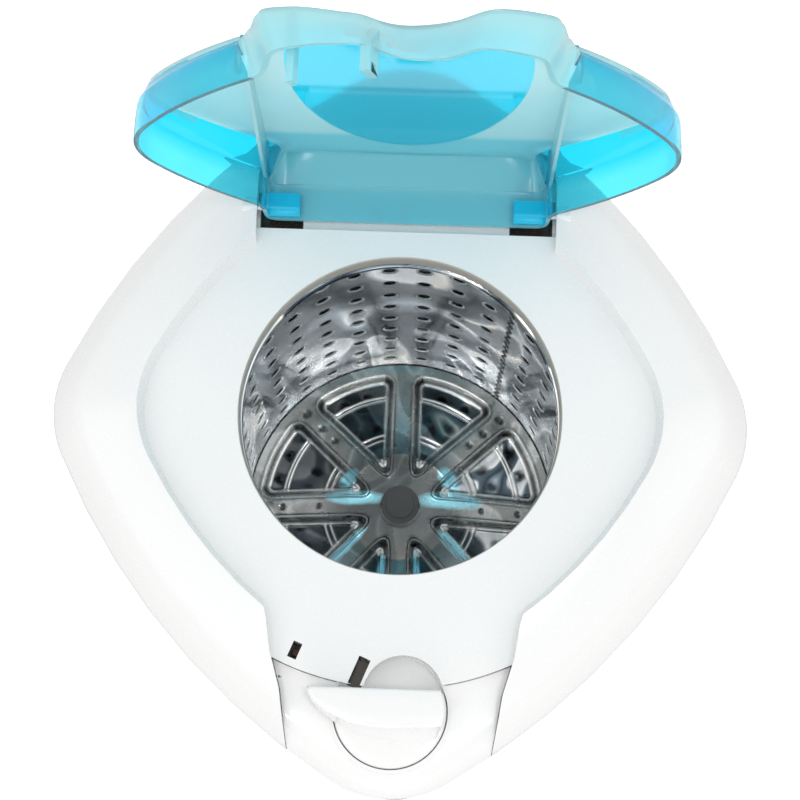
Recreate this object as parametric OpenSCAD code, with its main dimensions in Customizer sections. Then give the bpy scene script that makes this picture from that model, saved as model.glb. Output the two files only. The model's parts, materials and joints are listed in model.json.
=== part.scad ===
// Top-loading laundry spin dryer with a rounded diamond-shaped body and a hinged see-through lid.
// Millimetres, +Z up. The origin is on the floor, on the axis of the drum.

/* [Body] */
// From the tub's inner face to the tip of a side corner
side_room = 72.5; // [68:0.5:95]
// From the knob's middle to the tip of the nose
nose_reach = 45; // [38:0.5:60]
// Radius of the four rounded corners of the body
corner_r = 60; // [45:1:75]
// How far each side bows out beyond a straight one
side_bow = 14.6; // [8:0.2:20]
// How far the casing stands back under the brim at its top
casing_setback = 12; // [9:0.5:16]
// How much further the casing stands back at its foot
casing_taper = 9; // [0:0.5:14]
// Wall of the casing
casing_wall = 2.6; // [2:0.1:4]
// Wall of the top cover
cover_wall = 3; // [2.5:0.1:4]
// Height of the base pan's upper edge
base_top_z = 46; // [38:1:60]
// Height of the rubber feet under the base pan
foot_h = 12; // [8:0.5:18]
// Radius of a foot
foot_r = 15; // [10:0.5:18]

/* [Opening and recess] */
// Radius of the opening in the deck
opening_r = 88; // [84:0.5:92]
// How far the brim stands above the deck
brim_rise = 12; // [9:0.5:14]
// From the tub's inner face to the recess's side corner
recess_margin = 20.5; // [18:0.5:23]
// Radius of the corners of the lid recess
recess_corner_r = 60; // [50:1:66]
// How far the recess wall leans out from the deck to the brim
recess_lean = 3; // [1:0.5:4]
// From the tub's inner face to the deck's front edge
deck_margin = 30; // [27:0.5:33]

/* [Lid] */
// Angle at which the lid stands open
lid_open = 91; // [85:1:95]
// Wall of the lid
lid_wall = 2.6; // [2:0.1:3.5]
// Gap between the lid's wings and the recess
lid_gap = 1.5; // [1:0.1:3]
// Height of the lid's skirt
skirt_h = 20; // [16:0.5:24]
// Height of the lid's plate above its rim at the hinge
plate_h = 38; // [32:0.5:42]
// Fall of the plate towards the front, in millimetres per millimetre
plate_fall = 0.07; // [0:0.005:0.075]
// Half width of the middle band of the lid
band_half_w = 78; // [74:0.5:80]
// From the hinge's line back to the tub's inner face
hinge_in = 6; // [4:0.5:8]
// Height of the hinge axis above the deck
hinge_rise = 6; // [5:0.25:7]
// Radius of the hinge pins
pin_r = 2; // [1.5:0.1:2.5]
// Radius of the lid's hinge knuckles
knuckle_r = 5; // [4:0.25:5.25]
// Running clearance of pins and shafts, on the radius
run_gap = 0.05; // [0.03:0.01:0.09]

/* [Controls] */
// From the tub's inner face to the knob's middle
knob_out = 42; // [41:0.5:44]
// Radius of the knob's disc
knob_r = 30; // [28:0.5:31]
// Height of the knob's grip bar above the deck
knob_rise = 12; // [9:0.5:14]
// Width of the knob's grip bar
grip_w = 22; // [18:0.5:25]
// How far the grip bar reaches past the disc
grip_reach = 15; // [10:0.5:17]
// Angle that the knob turns from brake to spin
knob_turn = 60; // [45:1:70]
// Radius of the knob's spindle
spindle_r = 4; // [3:0.25:5]
// Travel of the latch bolt
bolt_travel = 7; // [6:0.5:8]
// Travel of the brake rod
rod_travel = 6; // [4:0.5:7]

/* [Drum] */
// Outer radius of the drum
drum_r = 105.6; // [103:0.2:108]
// Thickness of the drum's steel sheet
sheet = 0.8; // [0.6:0.1:1.2]
// Depth of the drum's floor edge below the deck
drum_depth = 340; // [320:1:345]
// Depth of the drum's rim below the deck
rim_depth = 14; // [12:0.5:17]
// Inner radius of the drum's rolled rim
rim_inner_r = 86; // [82:0.5:87]
// Radius of the roll at the rim
rim_roll = 2.2; // [1.6:0.1:2.6]
// Rows of holes in the drum wall
hole_rows = 9; // [5:1:10]
// Columns of holes round the drum wall
hole_cols = 31; // [24:1:36]
// Angle without holes on both sides of the drum's weld
seam_gap = 17; // [14:0.5:24]
// Depth of the first row of holes below the deck
first_row = 92; // [88:1:110]
// Pitch of the rows of holes
row_pitch = 28.5; // [20:0.5:29]
// Radius of a drain hole
hole_r = 2.2; // [1.5:0.1:3]
// How far the drum's floor rises towards its middle
floor_rise = 26; // [18:0.5:30]
// How far the spokes stand above the pockets between them
spoke_rise = 5; // [3:0.25:7]
// Width of a spoke
spoke_w = 14; // [10:0.5:16]
// Number of spokes and of rivets
spokes = 8; // [6:1:10]
// Radius of the ring of rivets
rivet_ring_r = 33; // [31:0.5:36]

/* [Tub and drive] */
// Gap between the drum's wall and the outer tub
tub_gap = 12.4; // [11:0.2:15]
// Wall of the outer tub
tub_wall = 2.5; // [2:0.1:3.5]
// From the motor's foot up to the tub's floor
drive_h = 174; // [170:1:182]
// Gap between the tub's floor and the drum's floor
floor_gap = 20; // [17:0.5:26]
// Radius of the drive shaft
shaft_r = 6; // [5:0.25:8]
// Radius of the motor's stator
stator_r = 58; // [50:0.5:62]
// Height of the stator's stack of laminations
stack_h = 50; // [40:1:56]
// Height of the motor's underside
motor_z = 84; // [82:1:92]
// Radius of the brake drum
brake_r = 45; // [38:0.5:50]
// Radius on which the three motor mounts stand
mount_ring_r = 92; // [86:0.5:100]
// Outer radius of the drain spout
spout_r = 10; // [8:0.25:12]

/* [Hidden] */
$fn = 64;
eps = 0.01;
white = [0.97, 0.98, 0.98];
lid_blue = [0.15, 0.72, 0.86, 0.6];
steel = [0.78, 0.8, 0.82];
dark_steel = [0.45, 0.46, 0.48];
black = [0.08, 0.08, 0.09];
rubber_grey = [0.3, 0.3, 0.27];

// ---- plan outlines -------------------------------------------------------------------------
// Points on one arc, from angle a0 to angle a1, without the last one
function arc_points(c, r, a0, a1, n) =
    [for (i = [0:n - 1]) let (a = a0 + (a1 - a0) * i / n) c + r * [cos(a), sin(a)]];

// First quarter of a rounded diamond: a corner arc, a bowed side and a corner arc, all
// tangent, so that an inset only changes the radii
function quarter(half_w, half_d, rc, bow, inset) =
    let (
        c1 = [half_w - rc, 0],
        c2 = [0, half_d - rc],
        h = norm(c2 - c1) / 2,
        s = (h * h - bow * bow) / (2 * bow),
        out = [c2[1], c1[0]] / (2 * h),
        e = (c1 + c2) / 2 - s * out,
        a1 = atan2(c1[1] - e[1], c1[0] - e[0]),
        a2 = atan2(c2[1] - e[1], c2[0] - e[0])
    )
    concat(
        arc_points(c1, rc - inset, 0, a1, 5),
        arc_points(e, s + rc + bow - inset, a1, a2, 7),
        arc_points(c2, rc - inset, a2, 90, 5)
    );

// The whole outline from its four quarters
function diamond(half_w, half_d, rc, bow, inset = 0) =
    let (
        q = quarter(half_w, half_d, rc, bow, inset),
        n = len(q)
    )
    concat(
        q,
        [[0, half_d - inset]],
        [for (i = [n - 1:-1:0]) [-q[i][0], q[i][1]]],
        [for (i = [1:n - 1]) [-q[i][0], -q[i][1]]],
        [[0, inset - half_d]],
        [for (i = [n - 1:-1:1]) [q[i][0], -q[i][1]]]
    );

function body_plan(inset) = diamond(body_half_w, body_half_d, corner_r, side_bow, inset);
function recess_plan(grow) =
    diamond(recess_half_w, recess_half_w, recess_corner_r, 8.2, -grow);
function wing_plan(inset) =
    diamond(recess_half_w, recess_half_w, recess_corner_r, 8.2, lid_gap + inset);

// A solid through a stack of outlines, each given as [points, height]
module stack(layers) {
    n = len(layers[0][0]);
    m = len(layers);
    points = [for (l = layers) for (p = l[0]) [p[0], p[1], l[1]]];
    sides = [for (k = [0:m - 2]) for (i = [0:n - 1]) let (j = (i + 1) % n)
        [k * n + i, (k + 1) * n + i, (k + 1) * n + j, k * n + j]];
    bottom = [[for (i = [0:n - 1]) i]];
    top = [[for (i = [n - 1:-1:0]) (m - 1) * n + i]];
    polyhedron(points = points, faces = concat(bottom, sides, top), convexity = 6);
}

// The body's outline as a stack of [inset, height] steps
module body_stack(steps) {
    stack([for (s = steps) [body_plan(s[0]), s[1]]]);
}

// A tube standing on z0
module tube(r_out, r_in, z0, z1) {
    translate([0, 0, z0]) difference() {
        cylinder(r = r_out, h = z1 - z0);
        translate([0, 0, -1]) cylinder(r = r_in, h = z1 - z0 + 2);
    }
}

// Turned copies round the drum axis
module ring_of(n, r, start = 0) {
    for (i = [0:n - 1]) rotate([0, 0, start + i * 360 / n]) translate([r, 0, 0]) children();
}

// ---- derived heights and places ------------------------------------------------------------
tub_r = drum_r + tub_gap;
tub_floor_z = motor_z + drive_h;
floor_z = tub_floor_z + floor_gap;
deck_z = floor_z + drum_depth;
body_half_w = tub_r + side_room;
knob_y = tub_r + knob_out;
body_half_d = knob_y + nose_reach;
recess_half_w = tub_r + recess_margin;
deck_edge_r = tub_r + deck_margin;
hinge_y = tub_r - hinge_in;
cover_low = deck_z - 30;
cover_in = deck_z - cover_wall;
foot_inset = casing_setback + casing_taper;
seat_z = base_top_z - 6;
pan_floor_z = foot_h + 3;
casing_top_z = cover_low + 11;
casing_in = foot_inset + casing_wall;
shelf_z = deck_z - 4;
shelf_half_w = band_half_w + 4;
shelf_front = hinge_y - 10;
shelf_back = hinge_y + 35;
hinge_z = deck_z + hinge_rise;
pocket_in = 57.5;
pocket_out = band_half_w + 2;
pocket_front = hinge_y - knuckle_r - 4;
pocket_back = hinge_y + knuckle_r + 5;
pocket_z = deck_z - 14;
panel_z = deck_z - 4.6;
panel_low = deck_z - 24;
well_r = knob_r + 0.6;
well_floor = deck_z - 12.5;
well_wall = 2;
panel_wall = 2.6;
stop_h = 3.2;
screw_r = 1.8;
screw_ring = side_reach() - casing_setback - casing_wall - 8;
disc_top = deck_z - 5.2;
end_r = knob_r - 1.5;
sweep_at = [6.5, 8];
sweep_r = end_r - 7;
slot_lean = 22;
tongue_at = [-17, -tub_r - 21.8];
tongue_slot = [6.5, 15.5];
peg_at = [-51.5, -tub_r - 11.6];
peg_slot = [5, 9];
rim_z = deck_z - rim_depth;
hub_z = floor_z + floor_rise;
weld_a = 52.5;
tub_top_z = deck_z - 17.5;
collar_low = tub_top_z - 14;
boot_r = 34;
mount_top_z = motor_z + 88;
mount_h = 26;
mount_r = 13;
mount_bolt_r = 3;
can_r = 17;
can_h = 66;
can_ring = body_half_w - 70.5;
plate_t = 3;
stack_z = motor_z + 28;
winding_h = 12;
bore_r = 31;
bell_top_z = stack_z + stack_h + winding_h + 14;
neck_top_z = tub_floor_z - 4;
bearing_r = 16;
bearing_h = 10;
brake_z = motor_z - 22;
crank_y = -(brake_r + 30);
crank_z = motor_z + 8;
rod_y = -tub_r - 18;
rod_r = 1.6;
cam_top_z = well_floor - well_wall - 4.4;
ramp_z = cam_top_z - 10;
crank_pin_r = bolt_travel / (2 * sin(knob_turn / 2));
head_gap = 0.3;
bolt_z = deck_z - 9;
spout_a = 135;
spout_z = 62;
wall_reach = side_reach() - foot_inset;
spout_neck_r = spout_r + 1.5;
neck_out = 2.5;
spout_end = wall_reach + neck_out + 12.5;
outlet_ring = tub_r - 14;
gland_a = 45;
gland_z = 66;
cord_r = 3.6;
channel = [
    [71, tub_r - 20], [67, tub_r - 4], [64.5, tub_r + 13], [59, tub_r + 32], [55, tub_r + 60],
    [50, tub_r + 122]
];

// The control panel's channel through the brim, as a plan outline
function channel_plan(grow) =
    concat(
        [for (p = channel) [p[0] + grow, -p[1]]],
        [for (i = [len(channel) - 1:-1:0]) [-channel[i][0] - grow, -channel[i][1]]]
    );

// ---- housing -------------------------------------------------------------------------------
module base_pan() {
    color("gainsboro") difference() {
        union() {
            difference() {
                body_stack([
                    [foot_inset + 2, foot_h],
                    [foot_inset - 2.6, foot_h + 9],
                    [foot_inset - 2.9, base_top_z]
                ]);
                body_stack([
                    [foot_inset + 5, pan_floor_z],
                    [foot_inset + 0.8, foot_h + 11],
                    [foot_inset + 0.8, seat_z - 6],
                    [casing_in + 0.6, seat_z - 3],
                    [casing_in + 0.6, seat_z + eps]
                ]);
                body_stack([[foot_inset - 0.3, seat_z], [foot_inset - 0.3, base_top_z + 1]]);
            }
            for (a = [90, 210, 330]) rotate([0, 0, a]) motor_post();
            for (a = [45:90:315]) rotate([0, 0, a]) translate([foot_ring(), 0, pan_floor_z - eps])
                cylinder(r = foot_r * 0.7, h = 6);
            translate([0, crank_y, pan_floor_z - eps]) bracket_foot();
        }
        for (a = [45:90:315]) rotate([0, 0, a]) translate([foot_ring(), 0, foot_h - 1])
            cylinder(r = foot_r * 0.4, h = 8);
        for (i = [0:5]) rotate([0, 0, 60 * i]) translate([34, 0, foot_h - 1])
            cylinder(r = 7, h = 6);
        base_screw_ring(screw_r, 20);
    }
}
function foot_ring() = body_half_w * 0.9 - foot_inset - foot_r;
module motor_post() {
    translate([mount_ring_r, 0, pan_floor_z - eps]) {
        difference() {
            union() {
                cylinder(r = 9, h = mount_top_z - mount_h - pan_floor_z);
                for (a = [0:90:270]) rotate([0, 0, a]) translate([0, -1.5, 0])
                    cube([14, 3, mount_top_z - mount_h - 34 - pan_floor_z]);
            }
            translate([0, 0, mount_top_z - mount_h - 30 - pan_floor_z])
                cylinder(r = mount_bolt_r, h = 40);
        }
    }
}
module bracket_foot() {
    translate([-14, -14, 0]) cube([28, 28, 4]);
}

module feet() {
    color(rubber_grey) for (a = [45:90:315]) rotate([0, 0, a]) translate([foot_ring(), 0, 0]) {
        rotate_extrude() polygon([[0, 0], [foot_r - 2, 0], [foot_r, 2], [foot_r - 1, foot_h], [0, foot_h]]);
        translate([0, 0, foot_h - eps]) cylinder(r = foot_r * 0.4, h = 6);
    }
}

module casing() {
    color(white) difference() {
        body_stack([
            [foot_inset, seat_z],
            [casing_setback, cover_low],
            [casing_setback, casing_top_z]
        ]);
        difference() {
            body_stack([
                [foot_inset + casing_wall, seat_z - 1],
                [casing_setback + casing_wall, cover_low],
                [casing_setback + casing_wall, casing_top_z + 1]
            ]);
            ring_of(4, screw_ring - 8, 45) translate([0, -9, casing_top_z - 3]) cube([40, 18, 3]);
        }
        ring_of(4, screw_ring, 45) translate([0, 0, casing_top_z - 6]) cylinder(r = screw_r, h = 12);
        base_screw_ring(screw_r, 20);
        rotate([0, 0, spout_a]) translate([100, 0, spout_z]) rotate([0, 90, 0])
            cylinder(r = spout_neck_r + 0.2, h = 100);
        rotate([0, 0, gland_a]) translate([100, 0, gland_z]) rotate([0, 90, 0])
            cylinder(r = 8.2, h = 100);
        for (x = [-1, 1]) rotate([0, 0, 90 + x * 45]) for (k = [0:5])
            translate([100, -22, 110 + k * 11]) cube([100, 44, 4]);
        translate([0, 0, panel_low - 0.3]) linear_extrude(40) polygon(channel_plan(0.6));
    }
}

// The brim, the recessed deck and the collar round the opening, in one moulding
module top_cover() {
    lip = 2.5;
    color(white) difference() {
        union() {
            difference() {
                cover_skin();
                cover_cavity();
                stack([
                    [recess_plan(0), deck_z],
                    [recess_plan(recess_lean), deck_z + brim_rise],
                    [recess_plan(recess_lean), deck_z + brim_rise + 1]
                ]);
                deck_channel();
            }
            intersection() {
                cover_skin();
                shelf();
            }
            hinge_ears();
            pocket_boxes();
            collar();
            ring_of(4, screw_ring, 45) translate([0, 0, casing_top_z])
                cylinder(r = 5, h = deck_z + 3.5 - casing_top_z);
            front_edge(lip);
        }
        ring_of(4, screw_ring, 45) translate([0, 0, casing_top_z - 1]) cylinder(r = screw_r, h = 10);
        translate([-48, tongue_at[1] - 3.2, deck_z - 13]) cube([30, 6.4, 7.5]);
        shelf_cut();
        translate([0, 0, deck_z - 40]) cylinder(r = opening_r, h = 80);
        for (s = [-1, 1]) pocket_cut(s);
        hinge_bores(pin_r);
        lid_slots();
        knob_sweep();
        spring_slits();
    }
}
module cover_skin() {
    body_stack([
        [1.5, cover_low],
        [0, cover_low + 3],
        [0, deck_z - 17],
        [3.5, deck_z - 8],
        [12.5, deck_z + 2.5],
        [20, deck_z + 5.6],
        [36, deck_z + brim_rise - 1.6],
        [49, deck_z + brim_rise]
    ]);
}
// The deck's front edge, and the ledge on which the control panel lies
module front_edge(lip) {
    difference() {
        union() {
            translate([0, 0, deck_z - 12]) linear_extrude(12) intersection() {
                circle(r = deck_edge_r);
                difference() {
                    polygon(channel_plan(0));
                    circle(r = deck_edge_r - lip);
                }
            }
            intersection() {
                panel_stack(panel_wall);
                translate([0, 0, deck_z - 12]) linear_extrude(12) polygon(channel_plan(-0.5 - panel_wall));
                tube(deck_edge_r + 5, deck_edge_r - 1, deck_z - 12, deck_z);
            }
        }
        translate([0, -knob_y, deck_z - 20]) cylinder(r = well_r + well_wall + 0.1, h = 40);
    }
}
// Everything hollow under the cover's skin
module cover_cavity() {
    w = cover_wall;
    body_stack([[casing_setback - 0.3, cover_low - 1], [casing_setback - 0.3, cover_low + w + 1]]);
    body_stack([
        [w, cover_low + w],
        [w, deck_z - 18],
        [w + 3.5, deck_z - 10],
        [w + 9, cover_in]
    ]);
    difference() {
        body_stack([
            [w + 9, cover_in - eps],
            [w + 10.5, deck_z - 0.8],
            [w + 18, deck_z + 2.4],
            [w + 34, deck_z + brim_rise - 1.6 - w],
            [49, deck_z + brim_rise - w]
        ]);
        translate([0, 0, deck_z - 20]) linear_extrude(60) {
            polygon(recess_plan(recess_lean + w));
            polygon(channel_plan(w));
            translate([-shelf_half_w - w - 8, 60])
                square([2 * (shelf_half_w + w + 8), shelf_back + w - 60]);
        }
    }
}
// Room for the control panel in front of the deck's edge, and for the deck behind it
module deck_channel() {
    translate([0, 0, deck_z]) linear_extrude(40) polygon(channel_plan(0));
    difference() {
        translate([0, 0, panel_low]) linear_extrude(40) polygon(channel_plan(0));
        translate([0, 0, panel_low - 1]) cylinder(r = deck_edge_r, h = 42);
    }
}
// Lowered shelf behind the deck, where the back of the open lid stands
module shelf_cut() {
    w = shelf_half_w;
    difference() {
        translate([-w, shelf_front, shelf_z]) cube([2 * w, shelf_back - shelf_front, 40]);
        for (s = [-1, 1]) translate([s * 32 - 6, hinge_y + 8.6, shelf_z - 1]) cube([12, 4, 1 + stop_h]);
    }
    translate([-w, shelf_front - 14, deck_z]) cube([2 * w, 20, 40]);
}
module shelf() {
    t = cover_wall;
    translate([-shelf_half_w - t, shelf_front - t, shelf_z - t])
        cube([2 * (shelf_half_w + t), shelf_back - shelf_front + 2 * t, t + 20]);
}
module hinge_ears() {
    for (s = [-1, 1]) translate([s * (shelf_half_w + 4) - 4, 0, 0]) {
        translate([0, hinge_y - knuckle_r, deck_z - 3]) cube([8, 2 * knuckle_r, hinge_rise + 3]);
        translate([0, hinge_y, hinge_z]) rotate([0, 90, 0]) cylinder(r = knuckle_r, h = 8);
    }
}
module pocket_boxes() {
    t = 2;
    width = pocket_out - pocket_in + 2 * t;
    depth = pocket_back - pocket_front + 2 * t;
    for (s = [-1, 1]) mirror([s < 0 ? 1 : 0, 0, 0])
        translate([pocket_in - t, pocket_front - t, pocket_z - t])
            cube([width, depth, shelf_z - pocket_z + t]);
}
module pocket_cut(s) {
    mirror([s < 0 ? 1 : 0, 0, 0]) translate([pocket_in, pocket_front, pocket_z])
        cube([pocket_out - pocket_in, pocket_back - pocket_front, 60]);
}
// The hinge pins' own shape: they stand inwards from the ears
module hinge_bores(r, extra = 0) {
    tip = pocket_in + 4.5 - extra;
    for (s = [-1, 1]) mirror([s < 0 ? 1 : 0, 0, 0]) translate([tip, hinge_y, hinge_z])
        rotate([0, 90, 0]) cylinder(r = r, h = shelf_half_w + 7 - tip);
}
module collar() {
    tube(opening_r + 2.6, opening_r - 1, deck_z - 12, deck_z - 1);
    r = tub_r + tub_wall;
    difference() {
        tube(r + 4, r + 1.5, collar_low, deck_z - 1);
        translate([0, -knob_y, collar_low - 1]) cylinder(r = well_r + well_wall + 0.4, h = 60);
    }
}
module lid_slots() {
    translate([tongue_at[0], tongue_at[1], deck_z - 12]) rotate([0, 0, -slot_lean]) linear_extrude(20)
        square(tongue_slot, center = true);
    translate([peg_at[0], peg_at[1], deck_z - 12]) rotate([0, 0, -slot_lean]) linear_extrude(20)
        square(peg_slot, center = true);
}
// Round room that the end of the grip bar sweeps through behind the panel
module knob_sweep() {
    translate([sweep_at[0], sweep_at[1] - knob_y, deck_z - 10]) cylinder(r = sweep_r, h = 20);
}
module spring_slits() {
    for (x = [-18, -2]) translate([x - 2, hinge_y - 1, shelf_z - 8]) cube([4, 9, 12]);
}

module control_panel() {
    w = panel_wall;
    color(white) difference() {
        union() {
            difference() {
                intersection() {
                    panel_stack(0);
                    translate([0, 0, panel_low - 5]) linear_extrude(60) polygon(channel_plan(-0.25));
                }
                intersection() {
                    panel_stack(w);
                    translate([0, 0, panel_low - 5]) linear_extrude(60) polygon(channel_plan(-0.25 - w));
                }
                translate([0, 0, panel_low - 1]) cylinder(r = deck_edge_r + 0.3, h = 60);
            }
            difference() {
                translate([0, -knob_y, well_floor - well_wall])
                    cylinder(r = well_r + well_wall, h = panel_z - 0.6 - well_floor + well_wall);
                translate([0, 0, deck_z - cover_wall - 0.1]) cylinder(r = deck_edge_r + 0.3, h = 20);
            }
            translate([0, -knob_y, cam_top_z + 0.4]) cylinder(r = spindle_r + 3, h = 5);
        }
        translate([0, -knob_y, well_floor]) cylinder(r = well_r, h = 30);
        translate([0, -knob_y, cam_top_z - 1]) cylinder(r = spindle_r + run_gap, h = 30);
        translate([-60, tongue_at[1] - 4, bolt_z - 3]) cube([45, 8, 6.5]);
        translate([tongue_at[0], tongue_at[1] + 0.6, well_floor + 0.5]) rotate([0, 0, -slot_lean])
            translate([-3, -6.4, 0]) cube([6, 12.8, 20]);
    }
}
// The panel's skin: flat where the knob sits, rounding down over the front
module panel_stack(w) {
    body_stack([
        [w, panel_low + 0.2 - w],
        [w, panel_low + 3],
        [w + 1.2, deck_z - 16 - w * 0.3],
        [w + 4, deck_z - 11 - w * 0.7],
        [w + 8.5, deck_z - 8 - w],
        [w + 15, deck_z - 6.4 - w],
        [w + 30, deck_z - 5.3 - w],
        [w + 57, panel_z - w]
    ]);
}

module neck_seal() {
    color(rubber_grey) translate([0, 0, deck_z]) rotate_extrude() polygon([
        [opening_r, -1], [opening_r - 0.5, -1.6], [opening_r - 1.4, -10.5], [opening_r - 1.2, -12.5],
        [opening_r + 2.4, -13.4], [opening_r + 2.4, -12], [opening_r, -12]
    ]);
}

module tub() {
    r2 = tub_r + tub_wall;
    color([0.9, 0.91, 0.92]) difference() {
        union() {
            translate([0, 0, tub_floor_z]) cylinder(r = r2, h = tub_top_z - tub_floor_z);
            translate([0, 0, tub_floor_z - 8]) tube(boot_r + 3, boot_r, 0, 9);
            ring_of(8, boot_r + 2, 22.5) translate([0, -1.25, tub_floor_z - 8])
                cube([r2 - boot_r - 4, 2.5, 9]);
            rotate([0, 0, spout_a]) translate([outlet_ring, 0, tub_floor_z - 14])
                cylinder(r = spout_r, h = 15);
            intersection() {
                body_stack([
                    [foot_inset + casing_wall, seat_z],
                    [casing_setback + casing_wall, cover_low]
                ]);
                ring_of(4, tub_r + 1, 45) translate([0, -1.5, tub_floor_z + 60]) cube([60, 3, 240]);
            }
        }
        translate([0, 0, tub_floor_z + tub_wall]) cylinder(r = tub_r, h = 600);
        translate([0, 0, tub_floor_z - 10]) cylinder(r = boot_r, h = 20);
        rotate([0, 0, spout_a]) translate([outlet_ring, 0, tub_floor_z - 20])
            cylinder(r = spout_r - 2.5, h = 30);
    }
}

module tub_seal() {
    r = tub_r + tub_wall;
    color(rubber_grey) tube(r + 1.5, r, collar_low + 1, tub_top_z - 1);
}

module shaft_boot() {
    color(rubber_grey) translate([0, 0, neck_top_z - 8]) rotate_extrude() polygon([
        [bearing_r + 4, 0], [bearing_r + 6, 0], [bearing_r + 6.4, 5], [boot_r - 5, 1], [boot_r - 2.2, 3.4],
        [boot_r, 3.4], [boot_r, 11], [boot_r - 2, 11], [boot_r - 2.2, 5.8], [boot_r - 5.4, 3.4],
        [bearing_r + 7, 8], [bearing_r + 4, 8]
    ]);
}

// Distance from the drum axis to the middle of a body side
function side_reach() = max([for (p = body_plan(0)) (p[0] + p[1]) / sqrt(2)]);

// Angle between a body side and the diagonal that the spout and the gland lie on
function side_lean() = abs(45 - atan(body_half_w / body_half_d));

module drain_spout() {
    bore = spout_r - 2.5;
    flange_r = spout_r + 4;
    flange_t = 2.5;
    flange_gap = 1.2 + 2 * flange_r * sin(side_lean());
    color("darkgray") rotate([0, 0, spout_a]) difference() {
        union() {
            translate([outlet_ring - spout_r, 0, spout_z]) rotate([0, 90, 0])
                cylinder(r = spout_r - 0.5, h = wall_reach - outlet_ring + spout_r);
            translate([wall_reach - casing_wall - flange_gap, 0, spout_z]) rotate([0, 90, 0])
                cylinder(r = spout_neck_r, h = casing_wall + flange_gap + neck_out);
            translate([wall_reach, 0, spout_z]) rotate([0, 90, 0])
                cylinder(r = spout_r, h = spout_end - wall_reach);
            translate([outlet_ring, 0, spout_z]) cylinder(r = spout_r, h = 32);
            translate([wall_reach - casing_wall - flange_gap - flange_t, 0, spout_z])
                rotate([0, 90, 0]) cylinder(r = flange_r, h = flange_t);
        }
        translate([outlet_ring - bore, 0, spout_z]) rotate([0, 90, 0]) cylinder(r = bore, h = 200);
        translate([outlet_ring, 0, spout_z]) cylinder(r = bore, h = 40);
    }
}
module drain_hose() {
    color(black) rotate([0, 0, spout_a]) translate([outlet_ring, 0, 0]) {
        tube(spout_r + 2.2, spout_r, spout_z + 16, tub_floor_z - 2);
        for (z = [spout_z + 20, tub_floor_z - 9]) tube(spout_r + 3.4, spout_r + 1, z, z + 4);
    }
}
module cable_gland() {
    reach = wall_reach;
    color(black) rotate([0, 0, gland_a]) translate([0, 0, gland_z]) rotate([0, 90, 0]) difference() {
        union() {
            translate([0, 0, reach - 16]) cylinder(r = 8, h = 20);
            translate([0, 0, reach + 0.6]) cylinder(r = 11, h = 4);
            translate([0, 0, reach - 12]) cylinder(r = 11, h = 12 - casing_wall - 1.6, $fn = 6);
        }
        translate([0, 0, reach - 20]) cylinder(r = cord_r, h = 40);
    }
}
module cover_screws() {
    color(steel) ring_of(4, screw_ring, 45) translate([0, 0, casing_top_z - 3]) {
        translate([0, 0, -2.5]) cylinder(r = 3.6, h = 2.5);
        translate([0, 0, -eps]) cylinder(r = screw_r, h = 11);
    }
}
// Four screws through the pan's edge into the foot of the casing
module base_screw_ring(r, h) {
    ring_of(4, wall_reach + 3.2, 45) translate([0, 0, base_top_z - 3])
        rotate([0, -90, 0]) cylinder(r = r, h = h);
}
module base_screws() {
    color(steel) {
        base_screw_ring(screw_r, 9);
        ring_of(4, wall_reach + 2.6, 45) translate([0, 0, base_top_z - 3])
            rotate([0, 90, 0]) cylinder(r = 3.2, h = 2);
    }
}
module hinge_pins() {
    color(steel) hinge_bores(pin_r);
}

// ---- drive ---------------------------------------------------------------------------------
module motor_plate() {
    z = mount_top_z;
    ear_r = mount_r + 3;
    color(dark_steel) difference() {
        translate([0, 0, z]) linear_extrude(plate_t) difference() {
            union() {
                circle(r = stator_r + ear_r);
                for (a = [90, 210, 330]) rotate([0, 0, a]) {
                    translate([0, -ear_r]) square([mount_ring_r, 2 * ear_r]);
                    translate([mount_ring_r, 0]) circle(r = ear_r);
                }
            }
            circle(r = stator_r + 3.2);
        }
        ring_of(3, mount_ring_r, 90) translate([0, 0, z - 1]) cylinder(r = mount_bolt_r, h = 9);
    }
}
module motor_mounts() {
    color(rubber_grey) ring_of(3, mount_ring_r, 90) translate([0, 0, mount_top_z - mount_h])
        difference() {
            rotate_extrude() polygon([
                [0, 0], [mount_r, 0], [mount_r, 4], [mount_r - 3, 9], [mount_r, mount_h / 2],
                [mount_r - 3, mount_h - 9], [mount_r, mount_h - 4], [mount_r, mount_h], [0, mount_h]
            ]);
            translate([0, 0, -1]) cylinder(r = mount_bolt_r, h = mount_h + 2);
        }
}
module mount_bolts() {
    color(steel) for (a = [90, 210, 330]) rotate([0, 0, a]) translate([mount_ring_r, 0, 0]) {
        translate([0, 0, mount_top_z - mount_h - 20])
            cylinder(r = mount_bolt_r, h = mount_h + 20 + plate_t + 6);
        translate([0, 0, mount_top_z + plate_t]) cylinder(r = 2 * mount_bolt_r, h = 4.5, $fn = 6);
    }
}
module motor_lower_bell() {
    r = stator_r;
    color([0.6, 0.61, 0.62]) difference() {
        union() {
            difference() {
                translate([0, 0, motor_z]) cylinder(r = r + 3, h = 40);
                translate([0, 0, motor_z + 4]) cylinder(r = r, h = 40);
                for (i = [0:7]) rotate([0, 0, 22.5 + i * 45]) translate([r - 6, -8, motor_z + 9])
                    cube([12, 16, 14]);
            }
            translate([0, 0, motor_z]) cylinder(r = bearing_r + 4, h = bearing_h + 5);
        }
        translate([0, 0, motor_z + 4]) cylinder(r = bearing_r, h = 20);
        translate([0, 0, motor_z - 1]) cylinder(r = shaft_r + 2, h = 10);
        for (i = [0:7]) rotate([0, 0, i * 45]) translate([40, 0, motor_z - 1]) cylinder(r = 6, h = 6);
    }
}
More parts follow.
